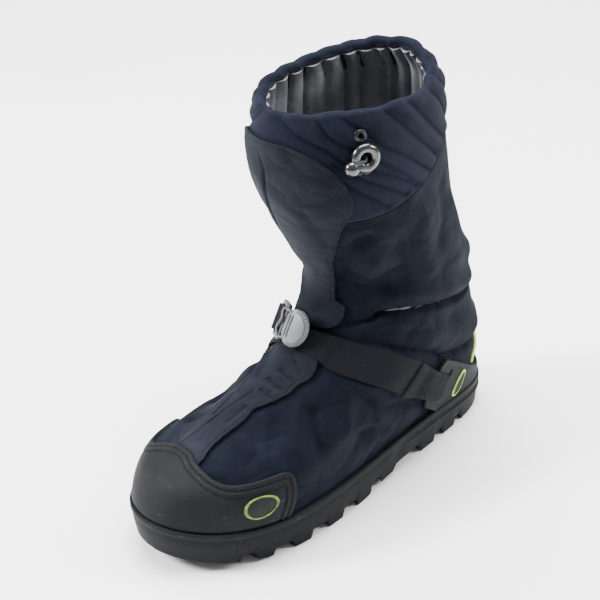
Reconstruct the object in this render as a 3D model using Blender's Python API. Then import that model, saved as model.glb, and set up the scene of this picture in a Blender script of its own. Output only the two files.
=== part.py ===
"""Insulated overshoe for the left foot: rubber cup sole and toe cap, tall padded cloth upper, strap and buckle.

The toe points to -Y, the outer side of the left foot to +X, and the tread stands on z = 0.
Every curved piece is worked out from one family of sections of the last, given in two short tables.
"""
import math

import bmesh
import bpy
import numpy as np
from mathutils import Matrix, Vector

# Driving sizes, in metres
LENGTH = 0.335
BALL_WIDTH = 0.128
INSTEP_HEIGHT = 0.130
COLLAR_HEIGHT = 0.304
SHAFT_WIDTH = 0.118

# Outsole
FLOOR_THICKNESS = 0.015
CUP_DEPTH = 0.0095
WAIST_RISE = 0.0065
TOE_SPRING = 0.013
TOE_SPRING_REACH = 0.28
ARCH_RISE = 0.0035
ARCH_START = 0.45
ARCH_END = 0.70
RIM_WALL = 0.004
BEAD_HEIGHT = 0.0045
BEAD_STEP = 0.0011
RAIL_DROP = 0.010
SIDE_DRAFT = 0.0028
LUG_DEPTH = 0.0065
CENTRE_BAND = 0.024
CHANNEL_WIDTH = 0.005
# Depth of the centre grooves and of the channels, as shares of the lug depth
CENTRE_GROOVE_SHARE = 0.7
CHANNEL_SHARE = 0.8
# Where the heel's rail begins to stand out, and over how much of the length it does so, as shares from the toe
HEEL_RAIL_START = 0.60
HEEL_RAIL_BLEND = 0.12

# Upper, overlays and clearances
GAP = 0.0003
WALL = 0.003
CUFF_THICKNESS = 0.0045
SEAM_RAMP = 0.30
CAP_THICKNESS = 0.0027
ANCHOR_THICKNESS = 0.0032
ANCHOR_LIFT = 0.0005
FLAP_THICKNESS = 0.0022
FLAP_LIFT = 0.0006
WEBBING_THICKNESS = 0.0018
STRAP_LIFT = 0.0007
INSOLE_THICKNESS = 0.004
INSOLE_PLAY = 0.0008
SLOT_WIDTH = 0.003

# Buckle: bends of its outer and inner halves round the ridge, and its lean away from the shaft in degrees
BUCKLE_RADIUS = 0.037
BUCKLE_RADIUS_MEDIAL = 0.028
BUCKLE_TILT = 18.0
BUCKLE_THICKNESS = 0.004
BUCKLE_SEAT = 0.0052
FRAME_LENGTH = 0.0176
FRAME_WIDTH = 0.026
FRAME_BAR = 0.0029
LEVER_LENGTH = 0.0208
LEVER_WIDTH = 0.026
LEVER_RIBS = 20
LEVER_RIB_DEPTH = 0.0007

# Collar cord
EYELET_RADIUS = 0.0034
EYELET_WIRE = 0.0013
LOCK_RADIUS = 0.0067
LOCK_WIRE = 0.0028
LOCK_LOBE_RADIUS = 0.0046
LOCK_LOBE_OVERLAP = 0.80
LOCK_LOBE_TURN = 23.0
KNOT_RADIUS = 0.0028

AROUND = 36

# Plan of the outsole: half widths at five angles round the last, as shares of half the ball width
SOLE_HALF_WIDTHS = (1.390, 1.266, 0.875, 0.984, 1.383)
SOLE_SWING = 0.108
# Rows of the cuff, as shares of the way from its seam to the collar rim
CUFF_ROWS = (0.0, 0.18, 0.38, 0.58, 0.80, 1.0)

# Sections of the foot, rising from the bumper to the throat.
# y as shares of half the length, z and the two bends as shares of the instep height,
# half widths and swing as shares of half the ball width.
# Columns: name, front_y, front_z, back_y, back_z, half widths (front, fore, mid, rear, back),
# swing, bow, medial drop.
FOOT_SECTIONS = (
    ("bumper", -0.946, 0.377, 0.966, 0.277, 1.330, 1.200, 0.844, 0.915, 1.280, 0.108, 0.000, 0.000),
    ("toe", -0.906, 0.454, 0.968, 0.362, 1.266, 1.156, 0.852, 0.915, 1.270, 0.102, 0.008, 0.010),
    ("cap", -0.835, 0.510, 0.968, 0.438, 1.140, 1.094, 0.859, 0.915, 1.260, 0.094, 0.015, 0.060),
    ("crown", -0.728, 0.558, 0.968, 0.508, 1.000, 1.030, 0.867, 0.915, 1.250, 0.078, 0.015, 0.140),
    ("vamp", -0.579, 0.620, 0.970, 0.577, 0.860, 0.945, 0.875, 0.910, 1.234, 0.062, 0.015, 0.200),
    ("vamp_top", -0.412, 0.700, 0.966, 0.646, 0.766, 0.890, 0.875, 0.898, 1.188, 0.047, 0.015, 0.215),
    ("instep", -0.257, 0.785, 0.950, 0.715, 0.703, 0.844, 0.867, 0.875, 1.078, 0.023, 0.008, 0.215),
    ("instep_top", -0.119, 0.885, 0.938, 0.792, 0.688, 0.812, 0.852, 0.844, 0.969, 0.011, 0.008, 0.170),
    ("throat", -0.015, 1.000, 0.925, 0.885, 0.703, 0.812, 0.828, 0.812, 0.906, 0.000, 0.000, 0.108),
)

# Sections of the shaft, from the ankle to the collar rim.
# y as shares of half the length, z and the bends as shares of the rise from instep to collar,
# half widths and swing as shares of half the shaft width.
SHAFT_SECTIONS = (
    ("ankle", 0.060, 0.098, 0.922, 0.000, 0.797, 0.881, 0.890, 0.864, 0.932, 0.000, 0.000, 0.034),
    ("ankle_top", 0.068, 0.190, 0.901, 0.098, 0.830, 0.881, 0.907, 0.881, 0.915, 0.000, 0.000, 0.011),
    ("calf", 0.000, 0.293, 0.851, 0.207, 0.864, 0.915, 0.924, 0.881, 0.898, 0.000, 0.000, 0.000),
    ("calf_mid", -0.066, 0.414, 0.812, 0.333, 0.915, 0.949, 0.958, 0.915, 0.915, 0.000, 0.000, 0.000),
    ("calf_top", -0.119, 0.534, 0.785, 0.471, 0.949, 0.983, 0.983, 0.949, 0.949, 0.000, 0.000, 0.000),
    ("cuff_foot", -0.173, 0.667, 0.758, 0.621, 0.966, 1.000, 1.000, 0.966, 0.966, 0.000, 0.000, 0.000),
    ("cuff", -0.191, 0.793, 0.755, 0.770, 0.966, 1.000, 0.992, 0.949, 0.949, 0.000, 0.000, 0.000),
    ("cuff_top", -0.179, 0.908, 0.746, 0.931, 0.949, 0.966, 0.966, 0.915, 0.915, 0.000, 0.000, 0.000),
    ("collar", -0.167, 1.000, 0.669, 1.057, 0.847, 0.898, 0.881, 0.847, 0.814, 0.017, -0.017, 0.000),
)

SECTION_NAMES = ["seat", "rim"] + [row[0] for row in FOOT_SECTIONS + SHAFT_SECTIONS]
SEAT = SECTION_NAMES.index("seat")
RIM = SECTION_NAMES.index("rim")
BUMPER = SECTION_NAMES.index("bumper")
CROWN = SECTION_NAMES.index("crown")
CALF = SECTION_NAMES.index("calf")
COLLAR = SECTION_NAMES.index("collar")

# Lower seam of the padded cuff: section number at the five angles round the last
CUFF_SEAM = (14.90, 15.05, 15.70, 16.75, 17.10)

# Grooves of the tread's edge: centre and length along the sole, as shares of half the length
EDGE_GROOVES = (
    (-0.722, 0.067),
    (-0.558, 0.098),
    (-0.358, 0.098),
    (-0.161, 0.095),
    (0.030, 0.075),
    (0.524, 0.063),
    (0.683, 0.051),
)
ARCH_GROOVE = (0.275, 0.200)
ARCH_GROOVE_DEPTH = 0.0045
# Grooves across the tread's centre band
CENTRE_GROOVES = (-0.64, -0.46, -0.26, -0.07, 0.61, 0.75)
CENTRE_GROOVE_LENGTH = 0.045
# Lengthwise channels beside the centre band: start and end as shares of half the length
CHANNELS = ((-0.68, 0.12), (0.44, 0.82))

# Outlines drawn on the sections: angle round the last in degrees and section number
# Top edge of the toe cap: angle, section, from the inner wing's rear corner to the outer one's
CAP_TOP = ((-58.0, 2.75), (-56.0, 3.45), (-52.5, 3.78), (-48.0, 3.72), (-41.0, 3.62), (-33.0, 3.76),
           (-26.0, 4.16), (-18.0, 4.70), (-8.0, 4.97), (0.0, 4.97), (8.0, 4.80), (18.0, 4.30), (26.0, 3.82),
           (33.0, 3.52), (41.0, 3.46), (48.0, 3.58), (53.0, 3.62), (56.0, 3.35), (58.0, 2.70))
# Top edge of the heel counter: share of the way from the back to the front edge, section
COUNTER_TOP = ((0.0, 1.90), (0.37, 1.96), (0.50, 2.22), (0.60, 2.70), (0.72, 3.44), (0.83, 4.26),
               (0.93, 4.98), (1.0, 5.08))
COUNTER_FRONT_LOW = 113.5
COUNTER_FRONT_HIGH = 118.5
# Upper flap: section, inner edge angle, outer edge angle
SHAFT_FLAP = ((10.0, -20.0, 27.0), (10.5, -25.0, 27.5), (11.0, -27.0, 19.5), (11.5, -29.0, 17.0),
              (12.0, -31.0, 18.0), (12.5, -33.0, 20.5), (13.0, -35.0, 24.0), (13.7, -37.0, 30.0),
              (14.4, -38.0, 36.0), (15.0, -38.0, 42.0), (15.4, -38.0, 47.5), (15.9, -38.0, 51.0),
              (16.4, -37.0, 49.0), (16.85, -36.0, 43.5), (17.25, -34.0, 35.0), (17.5, -32.0, 26.0),
              (17.65, -29.0, 18.0))
# Lower flap over the vamp
VAMP_FLAP = ((5.05, -20.0, 12.5), (5.5, -21.0, 12.0), (6.0, -21.0, 12.0), (6.5, -22.0, 14.0),
             (7.0, -23.0, 15.0), (7.5, -24.0, 16.0), (8.0, -26.0, 23.5), (8.5, -27.0, 27.0),
             (9.0, -26.0, 25.5), (9.5, -22.0, 21.5))
# Strap from the heel anchor to the buckle: top edge angle and section, then bottom edge
STRAP = ((124.8, 3.55, 119.3, 2.15), (117.0, 4.55, 112.4, 2.90), (107.5, 5.80, 103.2, 4.05),
         (93.7, 7.10, 92.0, 5.30), (74.6, 8.38, 81.9, 6.30), (54.1, 9.07, 62.0, 7.45),
         (37.4, 9.44, 41.0, 8.22), (24.0, 9.60, 24.0, 8.72), (12.0, 9.66, 12.0, 8.88))
# Angles between which the strap climbs onto the anchor, and comes down from the flap
STRAP_ONTO_ANCHOR = (102.0, 109.0)
STRAP_OFF_FLAP = (28.0, 36.0)
# Slot of the anchor: its two ends
SLOT_TOP = (126.8, 3.60)
SLOT_FOOT = (121.3, 2.20)
# Piping over the back of the heel, one half
PIPING = ((148.0, 2.75), (152.0, 3.15), (158.0, 3.90), (165.0, 4.70), (172.0, 5.35), (180.0, 5.62))
PIPING_RADIUS = 0.0015
# Badges, bare: centre, half length, half height, turn in degrees
TOE_BADGE = (46.5, 2.05, 0.0135, 0.0085, 6.0)
HEEL_BADGE = (133.0, 2.05, 0.0120, 0.0042, 44.0)
BADGE_THICKNESS = 0.0013
BUCKLE_CENTRE = (-5.0, 9.50)
EYELET_CENTRE = (59.0, 17.88)
LOCK_CENTRE = (60.8, 17.20)

PARTS = None
CUTTERS = None


def clear_scene():
    for item in list(bpy.data.objects):
        bpy.data.objects.remove(item, do_unlink=True)


def make_collections():
    global PARTS, CUTTERS
    PARTS = bpy.data.collections.new("insulated_overshoe")
    CUTTERS = bpy.data.collections.new("cutters")
    for collection in (PARTS, CUTTERS):
        bpy.context.scene.collection.children.link(collection)


def material(name, colour, roughness, metallic=0.0):
    item = bpy.data.materials.new(name)
    item.use_nodes = True
    shader = item.node_tree.nodes["Principled BSDF"]
    shader.inputs["Base Color"].default_value = (*colour, 1.0)
    shader.inputs["Roughness"].default_value = roughness
    shader.inputs["Metallic"].default_value = metallic
    return item


def add_object(name, vertices, faces, colour, smooth_angle=40.0, collection=None):
    """A mesh object from shared points and faces, its normals made to point outwards."""
    mesh = bpy.data.meshes.new(name)
    mesh.from_pydata([tuple(float(c) for c in point) for point in vertices], [], faces)
    shape = bmesh.new()
    shape.from_mesh(mesh)
    bmesh.ops.recalc_face_normals(shape, faces=shape.faces)
    shape.to_mesh(mesh)
    shape.free()
    mesh.materials.append(colour)
    mesh.shade_smooth()
    mesh.set_sharp_from_angle(angle=math.radians(smooth_angle))
    item = bpy.data.objects.new(name, mesh)
    (collection or PARTS).objects.link(item)
    if collection is CUTTERS:
        item.hide_render = True
        item.display_type = "WIRE"
    return item


def cut(item, cutter, operation="DIFFERENCE"):
    modifier = item.modifiers.new(cutter.name, "BOOLEAN")
    modifier.operation = operation
    modifier.solver = "EXACT"
    modifier.object = cutter


# The family of sections

def column_curve(values, u):
    """Smooth even curve round the last through values at 0, 45, 90, 135 and 180 degrees."""
    orders = np.arange(5)
    knots = np.cos(np.outer(np.radians([0, 45, 90, 135, 180]), orders))
    weights = np.linalg.solve(knots, np.array(values, float))
    return np.tensordot(np.cos(np.multiply.outer(u, orders)), weights, axes=1)


def along(u):
    """Share of the way from front to back at angle u."""
    return (1.0 - np.cos(u)) / 2.0


def ground_height(y):
    """Bottom of the tread: toe spring in front, a low arch at the waist, flat elsewhere."""
    share = (y + LENGTH / 2) / LENGTH
    spring = TOE_SPRING * np.clip((TOE_SPRING_REACH - share) / TOE_SPRING_REACH, 0, 1) ** 2
    arch_share = np.clip((share - ARCH_START) / (ARCH_END - ARCH_START), 0, 1)
    return spring + ARCH_RISE * np.sin(math.pi * arch_share) ** 2


def floor_height(y):
    """Top of the cup's floor, on which the upper and the insole stand."""
    share = (y + LENGTH / 2) / LENGTH
    spring = TOE_SPRING * np.clip((TOE_SPRING_REACH - share) / TOE_SPRING_REACH, 0, 1) ** 2
    return FLOOR_THICKNESS + spring


def rim_height(u):
    y = LENGTH / 2 * (2 * along(u) - 1)
    return floor_height(y) + CUP_DEPTH + WAIST_RISE * np.sin(u) ** 2


def plan_width(u):
    """Sideways position of the sole's edge from the line through toe and heel tips."""
    half = column_curve(SOLE_HALF_WIDTHS, u) * BALL_WIDTH / 2
    return np.sin(u) * half + SOLE_SWING * BALL_WIDTH / 2 * np.sin(math.pi * along(u)) ** 2


def plan_centre():
    """Middle of the sole's width, which the origin stands under."""
    edge = plan_width(ring_angles())
    return (edge.max() + edge.min()) / 2


def sole_outline(u, inset=0.0):
    """Plan of the outsole at angle u, moved inwards by inset."""
    step = 1e-4

    def plan(angle):
        return np.stack([plan_width(angle) - plan_centre(), LENGTH / 2 * (2 * along(angle) - 1)], -1)

    tangent = plan(u + step) - plan(u - step)
    tangent /= np.linalg.norm(tangent, axis=-1, keepdims=True)
    outward = np.stack([tangent[..., 1], -tangent[..., 0]], -1)
    return plan(u) - outward * np.asarray(inset)[..., None]


def table_section(row, u, shaft):
    _, front_y, front_z, back_y, back_z, front, fore, mid, rear, back, swing, bow, drop = row
    rise = COLLAR_HEIGHT - INSTEP_HEIGHT if shaft else INSTEP_HEIGHT
    base = INSTEP_HEIGHT if shaft else 0.0
    half = (SHAFT_WIDTH if shaft else BALL_WIDTH) / 2
    s = along(u)
    x = np.sin(u) * column_curve((front, fore, mid, rear, back), u) * half
    x = x + swing * half * np.sin(math.pi * s) ** 2 - plan_centre()
    y = (front_y + (back_y - front_y) * s) * LENGTH / 2
    medial = np.maximum(0.0, -np.sin(u)) ** 1.5 * (1.0 - s)
    z = base + rise * (front_z + (back_z - front_z) * s + bow * np.sin(u) ** 2 - drop * medial)
    return np.stack([x, y, z], -1)


def sections(u):
    """Every section's point at angle u, from the seat in the cup to the collar."""
    plan = sole_outline(u, RIM_WALL + GAP)
    seat = np.concatenate([plan, (floor_height(plan[..., 1]) + GAP)[..., None]], -1)
    rim = np.concatenate([plan, rim_height(u)[..., None]], -1)
    rows = [seat, rim]
    rows += [table_section(row, u, False) for row in FOOT_SECTIONS]
    rows += [table_section(row, u, True) for row in SHAFT_SECTIONS]
    return np.stack(rows, 0)


def last_point(u, v):
    """Point of the upper's outer face at angle u (radians) and section v."""
    u, v = np.broadcast_arrays(np.asarray(u, float), np.asarray(v, float))
    rows = sections(u)
    top = len(rows) - 1
    k = np.clip(np.floor(v).astype(int), 0, top - 1)
    t = (v - k)[..., None]

    def pick(index):
        index = np.clip(index, 0, top)
        return np.take_along_axis(rows, index[None, ..., None], axis=0)[0]

    before, start, end, after = pick(k - 1), pick(k), pick(k + 1), pick(k + 2)
    smooth = 0.5 * (2 * start + (end - before) * t
                    + (2 * before - 5 * start + 4 * end - after) * t ** 2
                    + (3 * start - before - 3 * end + after) * t ** 3)
    straight = start + (end - start) * t
    return np.where((k == SEAT)[..., None], straight, smooth)


def last_normal(u, v):
    step = 1e-3
    u, v = np.broadcast_arrays(np.asarray(u, float), np.asarray(v, float))
    high = np.minimum(v + step, COLLAR)
    low = np.maximum(v - step, SEAT)
    around = last_point(u + step, v) - last_point(u - step, v)
    upwards = last_point(u, high) - last_point(u, low)
    normal = np.cross(around, upwards)
    return normal / np.linalg.norm(normal, axis=-1, keepdims=True)


def surface(u, v, offset=0.0):
    offset = np.broadcast_to(np.asarray(offset, float), np.broadcast(u, v).shape)
    return last_point(u, v) + last_normal(u, v) * offset[..., None]


def ring_angles(count=AROUND):
    return np.arange(count) * 2 * math.pi / count


def curve_through(points, positions):
    """Smooth values at positions through a short table of (position, value, value ...)."""
    table = np.array(points, float)
    x = table[:, 0]
    results = []
    for column in table.T[1:]:
        slope = np.gradient(column, x)
        k = np.clip(np.searchsorted(x, positions, side="right") - 1, 0, len(x) - 2)
        width = x[k + 1] - x[k]
        t = (positions - x[k]) / width
        results.append(column[k] * (1 + 2 * t) * (1 - t) ** 2 + column[k + 1] * t ** 2 * (3 - 2 * t)
                       + width * (slope[k] * t * (1 - t) ** 2 - slope[k + 1] * t ** 2 * (1 - t)))
    return results


# Solids made from grids of points

def grid_faces(rows, columns, closed, first, flip):
    faces = []
    last_column = columns if closed else columns - 1
    for i in range(rows - 1):
        for j in range(last_column):
            a = first + i * columns + j
            b = first + i * columns + (j + 1) % columns
            faces.append((a, b, b + columns, a + columns) if not flip else (a + columns, b + columns, b, a))
    return faces


def slab(name, outer, inner, colour, closed=False, smooth_angle=40.0, collection=None):
    """Closed solid between two grids of points of the same size; closed ones run right round."""
    rows, columns = outer.shape[:2]
    count = rows * columns
    faces = grid_faces(rows, columns, closed, 0, False) + grid_faces(rows, columns, closed, count, True)
    edge = [list(range(columns)), list(range(count - columns, count))]
    if closed:
        edge = [line + line[:1] for line in edge]
        borders = [edge[0], edge[1][::-1]]
    else:
        side = list(range(columns - 1, count, columns))
        far_side = list(range(0, count, columns))
        borders = [edge[0] + side[1:] + edge[1][::-1][1:] + far_side[::-1][1:]]
    for border in borders:
        for a, b in zip(border, border[1:]):
            faces.append((a, a + count, b + count, b))
    points = np.concatenate([outer.reshape(-1, 3), inner.reshape(-1, 3)])
    return add_object(name, points, faces, colour, smooth_angle, collection)


def patch(name, u, v, low, high, colour, edge_share=0.6, on_rim=False, closed=False):
    """Overlay between two offsets of the upper's own face, its outer edge eased."""
    high = np.broadcast_to(np.asarray(high, float), u.shape).copy()
    low = np.broadcast_to(np.asarray(low, float), u.shape)
    border = np.zeros(u.shape, bool)
    border[[0, -1], :] = True
    if not closed:
        border[:, [0, -1]] = True
    high[border] = low[border] + (high[border] - low[border]) * edge_share
    outer = surface(u, v, high)
    inner = surface(u, v, low)
    if on_rim:
        lowest = rim_height(u) + GAP
        outer[..., 2] = np.maximum(outer[..., 2], lowest)
        inner[..., 2] = np.maximum(inner[..., 2], lowest)
    return slab(name, outer, inner, colour, closed)


# Outsole

def make_sole(colour):
    u = ring_angles()
    rim = rim_height(u)
    plan_y = sole_outline(u)[:, 1]
    ground = ground_height(plan_y)
    heel_share = np.clip((along(u) - HEEL_RAIL_START) / HEEL_RAIL_BLEND, 0, 1)
    rail_inset = BEAD_STEP * (1.0 - heel_share)
    loops = []

    def add_loop(inset, height):
        plan = sole_outline(u, inset)
        loops.append(np.concatenate([plan, np.broadcast_to(height, u.shape)[:, None]], -1))

    inner_plan = sole_outline(u, RIM_WALL)
    add_loop(RIM_WALL, floor_height(inner_plan[:, 1]))
    add_loop(RIM_WALL, rim)
    add_loop(BEAD_STEP, rim)
    add_loop(0.0, rim - BEAD_STEP)
    add_loop(0.0, rim - BEAD_HEIGHT)
    add_loop(BEAD_STEP, rim - BEAD_HEIGHT - BEAD_STEP)
    add_loop(BEAD_STEP, rim - RAIL_DROP + BEAD_STEP)
    add_loop(rail_inset, rim - RAIL_DROP)
    add_loop(BEAD_STEP, rim - RAIL_DROP - 2 * BEAD_STEP)
    bottom_plan = sole_outline(u, SIDE_DRAFT)
    add_loop(SIDE_DRAFT, ground_height(bottom_plan[:, 1]))
    points = np.concatenate(loops)
    faces = grid_faces(len(loops), AROUND, True, 0, False)
    for first in (0, (len(loops) - 1) * AROUND):
        for j in range(AROUND // 2):
            a, b = first + j, first + j + 1
            c, d = first + (AROUND - j - 1), first + (AROUND - j) % AROUND
            if j == 0:
                faces.append((a, b, c))
            elif j == AROUND // 2 - 1:
                faces.append((a, b, d))
            else:
                faces.append((a, b, c, d))
    sole = add_object("outsole", points, faces, colour, 25.0)
    for cutter in groove_cutters(colour):
        cut(sole, cutter)
    return sole


def box_set(name, boxes, colour):
    """One cutter object made of separate boxes, each (low corner, high corner)."""
    shape = bmesh.new()
    for low, high in boxes:
        low, high = Vector(low), Vector(high)
        size = high - low
        matrix = Matrix.Translation((low + high) / 2) @ Matrix.Diagonal((*size, 1.0))
        bmesh.ops.create_cube(shape, size=1.0, matrix=matrix)
    mesh = bpy.data.meshes.new(name)
    shape.to_mesh(mesh)
    shape.free()
    mesh.materials.append(colour)
    item = bpy.data.objects.new(name, mesh)
    item.hide_render = True
    item.display_type = "WIRE"
    CUTTERS.objects.link(item)
    return item


def groove_cutters(colour):
    half = LENGTH / 2
    beyond = BALL_WIDTH
    below = -0.01
    edges = []
    for centre, length in EDGE_GROOVES:
        y0 = (centre - length / 2) * half
        y1 = (centre + length / 2) * half
        top = float(ground_height(np.array(centre * half))) + LUG_DEPTH
        edges.append(((CENTRE_BAND, y0, below), (beyond, y1, top)))
        edges.append(((-beyond, y0, below), (-CENTRE_BAND, y1, top)))
    arch_y, arch_length = ARCH_GROOVE
    arch_top = ARCH_RISE + ARCH_GROOVE_DEPTH
    edges.append(((-beyond, (arch_y - arch_length / 2) * half, below),
                  (beyond, (arch_y + arch_length / 2) * half, arch_top)))
    centre_boxes = []
    inside = CENTRE_BAND - CHANNEL_WIDTH / 2
    for centre in CENTRE_GROOVES:
        y0 = (centre - CENTRE_GROOVE_LENGTH / 2) * half
        y1 = (centre + CENTRE_GROOVE_LENGTH / 2) * half
        top = float(ground_height(np.array(centre * half))) + LUG_DEPTH * CENTRE_GROOVE_SHARE
        centre_boxes.append(((-inside, y0, below), (inside, y1, top)))
    channel_boxes = []
    for start, end in CHANNELS:
        for side in (-1, 1):
            x = side * CENTRE_BAND
            channel_boxes.append(((x - CHANNEL_WIDTH / 2, start * half, below),
                                  (x + CHANNEL_WIDTH / 2, end * half, LUG_DEPTH * CHANNEL_SHARE)))
    return (box_set("edge_grooves", edges, colour),
            box_set("centre_grooves", centre_boxes, colour),
            box_set("channels", channel_boxes, colour))


def make_insole(colour):
    u = ring_angles()
    plan = sole_outline(u, RIM_WALL + GAP + WALL + INSOLE_PLAY)
    low = floor_height(plan[:, 1]) + GAP
    bottom = np.concatenate([plan, low[:, None]], -1)
    top = bottom + np.array([0.0, 0.0, INSOLE_THICKNESS])
    points = np.concatenate([bottom, top])
    faces = grid_faces(2, AROUND, True, 0, False)
    for first in (0, AROUND):
        for j in range(AROUND // 2):
            a, b = first + j, first + j + 1
            c, d = first + (AROUND - j - 1), first + (AROUND - j) % AROUND
            corners = [a, b, c, d]
            faces.append(tuple(dict.fromkeys(corners)))
    return add_object("insole", points, faces, colour, 25.0)


# Upper and its overlays

def seam_section(u):
    return column_curve(CUFF_SEAM, u)


def upper_grid():
    """Rows of the upper's grid: plain sections below the cuff, then rows that follow its seam."""
    u = ring_angles()
    seam = seam_section(u)
    plain = [SEAT, RIM, BUMPER, BUMPER + 1, BUMPER + 2]
    plain += list(np.arange(CROWN, CALF + 0.5, 0.5))
    first = plain[-1]
    rows = [np.full_like(u, value) for value in plain]
    sunk = [0.0] * len(plain)
    for share in (0.45, 1.0):
        rows.append(first + (seam - SEAM_RAMP - first) * share)
        sunk.append(0.0)
    for share in CUFF_ROWS:
        rows.append(seam + (COLLAR - seam) * share)
        sunk.append(1.0)
    v = np.stack(rows)
    sink = -np.array(sunk)[:, None] * (CUFF_THICKNESS + GAP) * np.ones_like(v)
    return np.broadcast_to(u, v.shape), v, sink


def make_upper(colour):
    u, v, sink = upper_grid()
    return slab("upper", surface(u, v, sink), surface(u, v, sink - WALL), colour, closed=True)


def make_cuff(colour):
    u = ring_angles()
    seam = seam_section(u)
    v = np.stack([seam + (COLLAR - seam) * share for share in CUFF_ROWS])
    u = np.broadcast_to(u, v.shape)
    return patch("collar_cuff", u, v, -CUFF_THICKNESS, 0.0, colour, 0.7, closed=True)


def section_at_rim(u):
    """Section number just above the sole's rim, where an overlay that stands on the rim begins."""
    start = sections(u)[RIM][..., 2]
    end = sections(u)[BUMPER][..., 2]
    return RIM + 2 * GAP / (end - start)


def make_toe_cap(colour):
    columns = np.linspace(-1, 1, 25)
    angles = columns * CAP_TOP[-1][0]
    top, = curve_through(CAP_TOP, angles)
    u = np.radians(angles)
    start = section_at_rim(u)
    shares = np.linspace(0, 1, 8)[:, None]
    v = start + (top - start) * shares
    return patch("toe_cap", np.broadcast_to(u, v.shape), v, GAP, GAP + CAP_THICKNESS, colour,
                 0.75, on_rim=True)


def make_heel_counter(colour):
    columns = np.linspace(-1, 1, 21)
    shares = np.linspace(0, 1, 6)[:, None]
    reach = 180.0 - (COUNTER_FRONT_LOW + (COUNTER_FRONT_HIGH - COUNTER_FRONT_LOW) * shares)
    u = np.radians(180.0 - columns * reach)
    top, = curve_through(COUNTER_TOP, np.abs(columns))
    start = section_at_rim(u[0])
    v = start + (top - start) * shares
    counter = patch("heel_counter", u, v, ANCHOR_LIFT, ANCHOR_LIFT + ANCHOR_THICKNESS, colour, 0.7, on_rim=True)
    for side in (1, -1):
        cut(counter, slot_cutter(side, colour))
    return counter


def slot_cutter(side, colour):
    ends = [surface(np.array(math.radians(side * angle)), np.array(section), 0.0)
            for angle, section in (SLOT_TOP, SLOT_FOOT)]
    middle_u = math.radians(side * (SLOT_TOP[0] + SLOT_FOOT[0]) / 2)
    normal = Vector(last_normal(np.array(middle_u), np.array((SLOT_TOP[1] + SLOT_FOOT[1]) / 2)))
    length_axis = Vector(ends[0] - ends[1])
    centre = Vector((ends[0] + ends[1]) / 2) + normal * (ANCHOR_LIFT + ANCHOR_THICKNESS / 2)
    size = Vector((length_axis.length, SLOT_WIDTH, 4 * ANCHOR_THICKNESS))
    length_axis.normalize()
    across = normal.cross(length_axis).normalized()
    upright = length_axis.cross(across)
    turn = Matrix((length_axis, across, upright)).transposed().to_4x4()
    name = "slot_lateral" if side > 0 else "slot_medial"
    item = box_set(name, [(-size / 2, size / 2)], colour)
    item.matrix_world = Matrix.Translation(centre) @ turn
    return item


def make_flap(name, table, columns, colour):
    """Flap with a row at each section of its table, so that it bends with the upper."""
    heights, inner, outer = np.array(table).T
    shares = np.linspace(0, 1, columns)
    u = np.radians(inner[:, None] + (outer - inner)[:, None] * shares)
    v = np.broadcast_to(heights[:, None], u.shape)
    return patch(name, u, v, FLAP_LIFT, FLAP_LIFT + FLAP_THICKNESS, colour, 0.6)


def strap_lift(angle):
    """Height of the strap's underside over the upper: over the anchor's bar, then down, then over the flap."""
    over_anchor = np.interp(angle, STRAP_ONTO_ANCHOR, (0, 1))
    over_flap = np.interp(angle, STRAP_OFF_FLAP, (1, 0))
    return (STRAP_LIFT + over_anchor * (ANCHOR_THICKNESS + GAP) + over_flap * (FLAP_THICKNESS + FLAP_LIFT))


def make_strap(name, side, colour):
    table = np.array(STRAP)
    position = np.arange(len(table))
    samples = np.linspace(0, len(table) - 1, 27)
    top_u, top_v, low_u, low_v = curve_through(np.column_stack([position, table]), samples)
    shares = np.linspace(0, 1, 3)[None, :]
    angle = top_u[:, None] + (low_u - top_u)[:, None] * shares
    v = top_v[:, None] + (low_v - top_v)[:, None] * shares
    low = strap_lift(angle)
    return patch(name, np.radians(side * angle), v, low, low + WEBBING_THICKNESS, colour, 1.0)


def local_disc(centre, half_length, half_height, turn, rings, spokes):
    """Angles and sections of points in an oval on the upper, its axes in metres."""
    u0, v0 = math.radians(centre[0]), centre[1]
    step = 1e-3
    along_u = (last_point(u0 + step, v0) - last_point(u0 - step, v0)) / (2 * step)
    along_v = (last_point(u0, v0 + step) - last_point(u0, v0 - step)) / (2 * step)
    normal = last_normal(u0, v0)
    across = along_u / np.linalg.norm(along_u)
    upright = np.cross(normal, across)
    frame = np.linalg.inv(np.array([[along_u @ across, along_v @ across],
                                    [along_u @ upright, along_v @ upright]]))
    spin = math.radians(turn)
    radius = rings[:, None]
    angle = spokes[None, :]
    a = half_length * radius * np.cos(angle)
    b = half_height * radius * np.sin(angle)
    x = a * math.cos(spin) - b * math.sin(spin)
    y = a * math.sin(spin) + b * math.cos(spin)
    return u0 + frame[0, 0] * x + frame[0, 1] * y, v0 + frame[1, 0] * x + frame[1, 1] * y


def make_badge(name, badge, base, colour):
    """Bare oval badge with a domed face, set on an overlay whose face is at base."""
    u0, v0, half_length, half_height, turn = badge
    rings = np.array([0.5, 1.0])
    spokes = ring_angles(24)
    u, v = local_disc((u0, v0), half_length, half_height, turn, rings, spokes)
    rise = BADGE_THICKNESS * np.array([1.0, 0.4])[:, None]
    outer = surface(u, v, np.broadcast_to(base + GAP + rise, u.shape))
    inner = surface(u, v, base + GAP)
    count = len(spokes)
    points = np.concatenate([outer.reshape(-1, 3), inner.reshape(-1, 3)])
    total = outer.shape[0] * count
    faces = grid_faces(len(rings), count, True, 0, False) + grid_faces(len(rings), count, True, total, True)
    faces.append(tuple(range(count)))
    faces.append(tuple(range(total, total + count)))
    rim = list(range(total - count, total))
    for a, b in zip(rim, rim[1:] + rim[:1]):
        faces.append((a, a + total, b + total, b))
    return add_object(name, points, faces, colour)


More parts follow.
